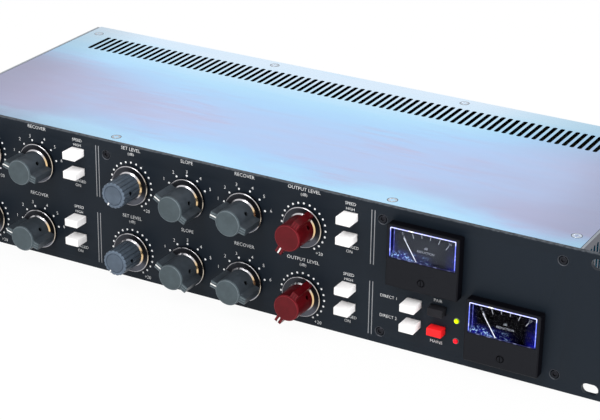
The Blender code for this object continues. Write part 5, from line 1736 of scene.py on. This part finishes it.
@dataclass
class Legends:
    """The panel's print: rings of dots, numbers, plain headings and double dividing lines."""

    rows: Pair = (63.0, 18.0)
    ring_radius: float = 14.65
    dot_radius: float = 0.66
    number_radius: float = 18.4
    top_drop: float = 1.3
    heading_size: float = 3.2
    unit_size: float = 2.7
    number_size: float = 3.1
    divider_places: Pair = (-95.33, 95.41)
    divider_gap: float = 1.01
    divider_width: float = 0.5
    divider_length: float = 34.3
    divider_rise: float = 3.6
    heading_rises: Pair = (23.3, 20.1)
    button_words: tuple[tuple[str, float, float], ...] = (
        ("SPEED", 2.7, 21.2), ("HIGH", 2.4, 17.9), ("ENGAGED", 2.6, -5.9), ("ON", 2.7, -9.0),
    )
    direct_place: float = 107.0
    single_words: tuple[tuple[str, float, float], ...] = (("PAIR", 138.2, 36.8), ("MAINS", 138.2, 10.5))
    pot_angles: tuple[float, ...] = tuple(range(-150, 151, 15))
    release_angles: tuple[float, ...] = tuple(range(-75, 76, 30))
    ratio_angles: tuple[float, ...] = tuple(range(-60, 61, 30))

    def columns(self) -> list[tuple[str, tuple[float, ...], dict[float, str], tuple[str, ...]]]:
        """Gives each knob column's control, dot angles, numbers by angle and heading lines."""
        release = {angle: str(step) for step, angle in enumerate(self.release_angles, start=1)}
        ratio = {angle: str(step) for step, angle in enumerate(self.ratio_angles, start=1)}
        level = {-146.0: "-40", 146.0: "+20"}
        output = {-146.0: "0", 146.0: "+20"}
        return [
            ("limiter_threshold", self.pot_angles, level, ("SET LEVEL", "(dB)")),
            ("limiter_release", self.release_angles, release, ("RECOVER",)),
            ("threshold", self.pot_angles, level, ("SET LEVEL", "(dB)")),
            ("ratio", self.ratio_angles, ratio, ("SLOPE",)),
            ("release", self.release_angles, release, ("RECOVER",)),
            ("gain", self.pot_angles, output, ("OUTPUT LEVEL", "(dB)")),
        ]

    def build(self) -> None:
        """Prints the words, the dots and the lines."""
        words = Lettering()
        dots = np.concatenate([
            self.print_control(words, JOINT_PLACES[f"{control}_knob_{number}"], angles, numbers, heading)
            for control, angles, numbers, heading in self.columns() for number in (1, 2)
        ])
        self.print_buttons(words)
        add_piece("panel_words", words.mesh, PANEL_INK)
        profile = [(0.0, -0.02), (0.0, 0.6 * PRINT_HEIGHT), (0.1, PRINT_HEIGHT)]
        dot = carry(polar(even_angles(12), self.dot_radius), profile)
        add_piece("panel_dots", dot.repeated(dots).placed(PANEL_ORIGIN), PANEL_INK)
        line = carry(rounded_rectangle(self.divider_width, self.divider_length, 0.1, 2), profile)
        places = [
            (across + side * self.divider_gap, row + self.divider_rise, 0.0)
            for across in self.divider_places for side in (-1, 1) for row in self.rows
        ]
        add_piece("panel_dividers", line.repeated(places).placed(PANEL_ORIGIN), DIVIDER_INK)

    def print_control(
        self,
        words: Lettering,
        place: Sequence[float],
        angles: Sequence[float],
        numbers: dict[float, str],
        heading: Sequence[str],
    ) -> np.ndarray:
        """Writes the numbers and the heading round a knob.

        Args:
            words: What is written so far.
            place: The knob's place, in metres.
            angles: The angles of its dots, clockwise from up.
            numbers: Its numbers by their angles.
            heading: The lines above it.

        Returns:
            The places of its dots, in millimetres.
        """
        across, up = place[0] / MM, place[2] / MM
        for angle, text in numbers.items():
            turn = math.radians(angle)
            aside = math.copysign(0.45 * (len(text) - 2) + 1.2 * (abs(angle) < 20.0), turn)
            reach = self.number_radius - self.top_drop * (abs(angle) < 40.0)
            number_across = across + self.number_radius * math.sin(turn) + aside * (abs(angle) > 1.0)
            self.write(words, text, self.number_size, number_across, up + reach * math.cos(turn))
        for size, rise, text in zip((self.heading_size, self.unit_size), self.heading_rises, heading):
            self.write(words, text, size, across, up + rise)
        turns = np.radians(angles)
        ring = self.ring_radius * np.column_stack([np.sin(turns), np.cos(turns), 0.0 * turns])
        return ring + (across, up, 0.0)

    def print_buttons(self, words: Lettering) -> None:
        """Writes the words at the buttons."""
        for number, row in enumerate(self.rows, start=1):
            for button in ("limiter_attack", "attack"):
                across = middle_of(f"{button}_button_{number}")[0] / MM
                for text, size, rise in self.button_words:
                    self.write(words, text, size, across, row + rise)
            up = middle_of(f"bypass_button_{number}")[2] / MM
            self.write(words, f"DIRECT {number}", self.unit_size, self.direct_place, up)
        for text, across, up in self.single_words:
            self.write(words, text, self.unit_size, across, up)

    def write(self, words: Lettering, text: str, size: float, across: float, up: float) -> None:
        """Writes a word on the panel, with its place in millimetres."""
        words.word(text, size, (across * MM, PANEL_FACE, up * MM))


# The case

@dataclass
class Case:
    """The slotted cover, the side plates, the base, the rear panel and their screws."""

    sheet_edge: float = 0.18
    cut_edge: float = 0.08
    cover_screw: Screw = Screw(
        2.9, Recess.CROSS, face=0.10, edge=0.12, seat=-0.6, seat_radius=2.0,
        recess_size=3.8, recess_width=1.2, recess_depth=0.5,
    )
    sunk_screw: Screw = Screw(
        2.4, Recess.CROSS, face=-0.1, edge=0.2, seat=-1.0, seat_radius=1.6,
        recess_size=3.0, recess_depth=0.5,
    )
    rear_screw: Screw = Screw(
        2.7, Recess.CROSS, face=1.4, edge=0.6, seat=-0.3, seat_radius=2.5,
        recess_size=3.2, recess_width=0.9, recess_depth=0.9,
    )
    screw_gap: Profile = ((2.88, -0.2), (3.25, -0.2), (3.25, 0.02), (2.88, 0.02), (2.88, -0.2))
    cross_shade: Pair = (3.6, 1.14)
    sink: Profile = ((0.0, -1.1), (1.7, -1.1), (2.8, 0.0), (2.8, 0.4), (0.0, 0.4))
    rear_places: tuple[Pair, ...] = ((-213.1, 79.8), (-213.1, 7.2), (213.1, 79.8), (213.1, 7.2))
    cover_places: tuple[Pair, ...] = (
        (-211.0, 19.6), (-88.7, 11.5), (101.5, 11.7), (211.0, 19.6),
        (-211.0, 170.0), (-71.0, 177.0), (71.0, 177.0), (211.0, 170.0),
    )

    def build(self) -> None:
        """Copies each folded sheet, softens its edges and adds the screws."""
        under = (0.0, PANEL_FACE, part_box("base_plate")[0].z)
        below = [(across, -depth, 0.0) for across, depth in self.cover_places]
        for name, node, finish, slot in (
            ("cover_sheet", "top_cover", COVER_PLATE, "bare_sheet"),
            ("left_side_sheet", "left_side_plate", SIDE_PLATE, "bare_sheet"),
            ("right_side_sheet", "right_side_plate", SIDE_PLATE, "bare_sheet"),
            ("base_sheet", "base_plate", ZINC_SHEET, "zinc_steel"),
            ("rear_sheet", "rear_panel", ZINC_SHEET, "zinc_steel"),
        ):
            sheet = copy_of(node)
            if node == "base_plate":
                sheet = cut_away(sheet, revolve(self.sink, 32).repeated(below).placed(under, Facing.BOTTOM))
            piece = add_piece(name, sheet, finish, ROOT_BODY, [node])
            round_edges(piece, self.cut_edge if finish is COVER_PLATE else self.sheet_edge)
        for side in ("left", "right"):
            dress_node(f"{side}_cover_bracket", ZINC_SHEET)
        places = [(across, depth, 0.0) for across, depth in self.cover_places]
        heads = self.cover_screw.surface().repeated(places)
        origin = (0.0, PANEL_FACE, COVER_FACE)
        add_piece("cover_screws", heads.placed(origin, Facing.TOP), SCREW_STEEL)
        # The dark ring round each cover screw and the dark cross in its recess are painted shade
        angles = even_angles(48)
        cross = carry(polar(angles, cross_reach(angles, *self.cross_shade)), [(0.0, -0.5), (0.0, -0.1)])
        shades = Surface.joined([revolve(self.screw_gap, 40), cross]).repeated(places)
        add_piece("cover_screw_shades", shades.placed(origin, Facing.TOP), SCREW_BLACK_AND_SHADE)
        base_heads = self.sunk_screw.surface().repeated(below).placed(under, Facing.BOTTOM)
        add_piece("base_screws", base_heads, SCREW_STEEL)
        rear = (0.0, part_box("rear_panel")[1].y, 0.0)
        rear_heads = self.rear_screw.surface().repeated([(*place, 0.0) for place in self.rear_places])
        add_piece("rear_screws", rear_heads.placed(rear, Facing.BACK), SCREW_STEEL)


@dataclass
class Sockets:
    """The rear sockets and the mains inlet, with their contacts, sunk screws and plain names."""

    edge: float = 0.25
    pin_circle: float = 4.8
    pin: Profile = ((0.0, -13.0), (1.23, -13.0), (1.23, -3.5), (0.7, -2.95), (0.0, -2.95))
    sleeve: Profile = ((0.75, -4.0), (1.17, -4.0), (1.17, -0.5), (0.75, -0.5), (0.75, -4.0))
    blade_size: Pair = (2.06, 4.06)
    blade_places: tuple[Pair, ...] = ((0.0, 4.0), (-7.0, 0.0), (7.0, 0.0))
    blade: Profile = ((0.0, -15.9), (0.0, -4.5), (0.4, -3.95))
    sink: Profile = ((0.0, -1.2), (1.3, -1.2), (2.3, 0.0), (2.3, 0.4), (0.0, 0.4))
    screw: Screw = Screw(
        1.9, Recess.CROSS, face=-0.15, edge=0.2, seat=-1.1, seat_radius=1.2,
        recess_size=2.4, recess_depth=0.5, steps=32,
    )
    screw_places: tuple[Point, ...] = ((-9.5, 12.0, 0.0), (9.5, -12.0, 0.0))
    name_rise: float = 20.0
    name_size: float = 3.6

    def build(self) -> None:
        """Copies each socket, sinks its screws, softens it and adds its contacts and its name."""
        circle = polar(np.radians([90.0, 210.0, 330.0]), self.pin_circle)
        around = np.column_stack([circle, np.zeros(3)])
        screws, contacts, names = [], [], Lettering()
        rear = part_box("rear_panel")[1].y
        for kind, contact, name in (("input", self.sleeve, "IN"), ("output", self.pin, "OUT")):
            for number in (1, 2):
                node = f"{kind}_socket_{number}"
                front = face_of(node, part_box(node)[1].y)
                sinks = revolve(self.sink, 24).repeated(self.screw_places).placed(front, Facing.BACK)
                shape = cut_away(copy_of(node), sinks)
                shell = add_piece(f"{node}_shell", shape, SOCKET_METAL, ROOT_BODY, [node])
                round_edges(shell, self.edge)
                dress_node(f"{node}_insert", BLACK_PLASTIC)
                screws.append(self.screw.surface().repeated(self.screw_places).placed(front, Facing.BACK))
                contacts.append(revolve(contact, 20).repeated(around).placed(front, Facing.BACK))
                names.word(f"{name} {number}", self.name_size, self.above(front, rear), Facing.BACK)
        node = "mains_inlet"
        front = face_of(node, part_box(node)[1].y)
        inlet = add_piece(f"{node}_body", copy_of(node), BLACK_PLASTIC, ROOT_BODY, [node])
        round_edges(inlet, self.edge)
        blade = carry(rounded_rectangle(*self.blade_size, 0.2, 3), self.blade)
        blades = blade.repeated([(*place, 0.0) for place in self.blade_places])
        contacts.append(blades.placed(front, Facing.BACK))
        names.word("MAINS", self.name_size, self.above(front, rear), Facing.BACK)
        add_piece("socket_screws", Surface.joined(screws), SCREW_BLACK_AND_SHADE)
        add_piece("socket_contacts", Surface.joined(contacts), CONTACT_METAL)
        add_piece("rear_names", names.mesh, REAR_INK)

    def above(self, front: Point, rear: float) -> Point:
        """Gives the place of a name on the rear panel, above a socket."""
        return (front[0], rear, front[2] + self.name_rise * MM)


@dataclass
class Inside:
    """The boards, the transformer and what holds it."""

    thickness: float = 1.6
    pillar_height: float = 7.0
    clearance: float = 0.05
    green: Colour = seen(28, 82, 52)
    roughness: float = 0.42

    def build(self) -> None:
        """Dresses the parts inside the case."""
        green = (self.green, self.roughness)
        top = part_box("main_board")[0].z + (self.pillar_height + self.thickness + self.clearance) * MM
        dress_node("main_board", Laminate("main_board_laminate", *green, top))
        for node in ("control_board", "switch_board"):
            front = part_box(node)[1].y - (self.thickness + self.clearance) * MM
            dress_node(node, Laminate(f"{node}_laminate", *green, front, "Y", -self.clearance))
        tape = Wrapped("transformer_tape", seen(188, 168, 96), 0.45, middle_of("power_transformer"))
        dress_node("power_transformer", tape)
        dress_node("transformer_clamp", ZINC_SHEET)
        dress_node("transformer_bolt", SCREW_STEEL)


# The studio

@dataclass
class Studio:
    """The camera, the pale floor and the soft light."""

    camera_place: Point = (0.53866, -0.97728, 0.52216)
    azimuth: float = 28.7748
    elevation: float = 23.7684
    roll: float = 0.8722
    lens: float = 114.69
    floor_radius: float = 6.0
    floor_steps: int = 48
    floor_drop: float = 0.1
    floor_tones: tuple[Colour, Colour] = ((0.80, 0.80, 0.80), (0.84, 0.84, 0.84))
    floor_white: float = 0.95
    room_strength: float = 0.68
    ceiling_strength: float = 0.40
    ceiling_span: Pair = (0.25, 0.85)
    lights: tuple[tuple[str, Point, float, float, bool], ...] = (
        ("key_light", (-0.2, -1.3, 1.7), 1.0, 14.0, True),
        ("side_light", (2.4, -0.6, 0.9), 1.5, 50.0, False),
    )

    def build(self) -> None:
        """Sets up the picture."""
        bpy.context.scene.view_settings.view_transform = "Standard"
        self.place_camera()
        self.lay_floor()
        self.light_room()
        for light in self.lights:
            self.hang_light(*light)

    def place_camera(self) -> None:
        """Turns the camera by its azimuth, elevation and roll."""
        turn, tilt, roll = (math.radians(angle) for angle in (self.azimuth, self.elevation, self.roll))
        back = np.array([math.sin(turn) * math.cos(tilt), -math.cos(turn) * math.cos(tilt), math.sin(tilt)])
        right = np.array([math.cos(turn), math.sin(turn), 0.0])
        up = np.cross(back, right)
        rolled_right = math.cos(roll) * right + math.sin(roll) * up
        rolled_up = math.cos(roll) * up - math.sin(roll) * right
        placed = np.eye(4)
        placed[:3] = np.column_stack([rolled_right, rolled_up, back, self.camera_place])
        data = bpy.data.cameras.new("camera")
        data.sensor_width = 36.0
        data.sensor_fit = "HORIZONTAL"
        data.lens = self.lens
        data.clip_start = 0.01
        data.clip_end = 50.0
        camera = link("camera", data)
        camera.matrix_world = Matrix(placed.tolist())
        bpy.context.scene.camera = camera

    def lay_floor(self) -> None:
        """Lays a round floor, white to the camera apart from a share of the object's shadow."""
        rim = polar(even_angles(self.floor_steps), self.floor_radius / MM)
        disc = loft([rim * 0.0, rim], [0.0, 0.0], capped=False)
        placed = disc.placed((0.0, 0.0, CAD_BOX[0].z - self.floor_drop * MM), Facing.TOP)
        mesh = as_data("studio_floor", as_mesh(placed))
        material = bpy.data.materials.new("pale_floor")
        material.use_nodes = True
        recipe = Recipe(material.node_tree)
        cloud = recipe.noise(recipe.coords(), 1.2, 2.0)
        tone = recipe.blend(cloud, *self.floor_tones)
        matt = recipe.node("ShaderNodeBsdfDiffuse", {}, {"Color": tone})
        white = recipe.node("ShaderNodeEmission", {}, {"Color": WHITE, "Strength": 1.0})
        share = self.floor_white * self.shown(recipe)
        mixed = recipe.node("ShaderNodeMixShader", {}, {0: share, 1: matt, 2: white})
        recipe.node("ShaderNodeOutputMaterial", {}, {"Surface": mixed})
        mesh.materials.append(material)
        floor = link("studio_floor", mesh)

    def shown(self, recipe: Recipe) -> Wire:
        """Gives 1 for what the camera sees straight, in a reflection or through glass."""
        straight, mirrored, through = (
            recipe.source("ShaderNodeLightPath", f"Is {kind} Ray")
            for kind in ("Camera", "Glossy", "Transmission")
        )
        return recipe.larger(recipe.larger(straight, mirrored), through)

    def light_room(self) -> None:
        """Makes the room white where it is seen, and elsewhere a soft light, stronger from above."""
        world = bpy.data.worlds.new("studio")
        world.use_nodes = True
        recipe = Recipe(world.node_tree)
        towards = recipe.source("ShaderNodeTexCoord", "Generated")
        above = recipe.rise(recipe.axis(towards, "Z"), *self.ceiling_span)
        soft = self.room_strength + self.ceiling_strength * above
        strength = soft + (1.0 - soft) * self.shown(recipe)
        room = recipe.node("ShaderNodeBackground", {}, {"Color": WHITE, "Strength": strength})
        recipe.node("ShaderNodeOutputWorld", {}, {"Surface": room})
        bpy.context.scene.world = world

    def hang_light(self, name: str, place: Point, size: float, power: float, mirrored: bool) -> None:
        """Hangs a square soft light that looks at the object's middle.

        Args:
            name: The light's name.
            place: Where it hangs, in metres.
            size: Its side, in metres.
            power: Its power, in watts.
            mirrored: Whether it shows in reflections.
        """
        data = bpy.data.lights.new(name, "AREA")
        data.shape = "SQUARE"
        data.size = size
        data.energy = power
        light = link(name, data)
        aim = (-Vector(place)).to_track_quat("-Z", "Y")
        light.matrix_world = Matrix.Translation(place) @ aim.to_matrix().to_4x4()
        light.visible_glossy = mirrored


def knobs() -> list[Knob]:
    """Lists the knobs: fluted level knobs, grey winged switches and red winged output knobs."""
    switch = (Grip.WINGED, KNOB_DARK, KNOB_GREY_CAP, KNOB_GREY_HIGHLIGHT, "grey_knob")
    level = (Grip.FLUTED, KNOB_BLUE_SIDE, KNOB_BLUE_CAP, KNOB_BLUE_HIGHLIGHT, "grey_knob", -150.0, 236.0, 13.0)
    kinds = (
        ("limiter_threshold", *level),
        ("limiter_release", *switch, -75.0, 134.0, 10.3),
        ("threshold", *level),
        ("ratio", *switch, -60.0, 134.0, 10.3),
        ("release", *switch, -75.0, 134.0, 10.3),
        ("gain", Grip.WINGED, KNOB_RED, KNOB_RED_CAP_SHEEN, KNOB_RED_HIGHLIGHT, "red_knob", -150.0, 212.0, 8.0),
    )
    return [Knob(f"{kind[0]}_knob_{number}", *kind[1:]) for kind in kinds for number in (1, 2)]


def buttons() -> list[PushButton]:
    """Lists the buttons: white ones, the dark pairing one and the red mains one."""
    white = [
        PushButton(f"{kind}_button_{number}", WHITE_PLASTIC, "white_plastic")
        for kind in ("limiter_attack", "limiter_in", "attack", "in", "bypass") for number in (1, 2)
    ]
    dark = PushButton("link_button", LINK_PLASTIC, "black_plastic")
    return white + [dark, PushButton("power_button", RED_PLASTIC, "red_plastic")]


def main() -> None:
    """Builds the studio and the object's sub-assemblies in order."""
    Studio().build()
    FrontPanel().build()
    Case().build()
    for knob in knobs():
        knob.build()
    for button in buttons():
        button.build()
    Lamp("link_lamp", seen(220, 250, 0), seen(120, 160, 0)).build()
    Lamp("power_lamp", seen(255, 22, 40), seen(150, 6, 18)).build()
    # Meter 1's greyer card is a painted reflection off its window
    Meter(1, left_light=0.42, right_light=0.45, card_colour=seen(58, 61, 67)).build()
    Meter(2, left_light=0.5, right_light=0.8, card_colour=seen(4, 4, 7)).build()
    Sockets().build()
    Inside().build()
    Legends().build()


if __name__ == "__main__":
    main()
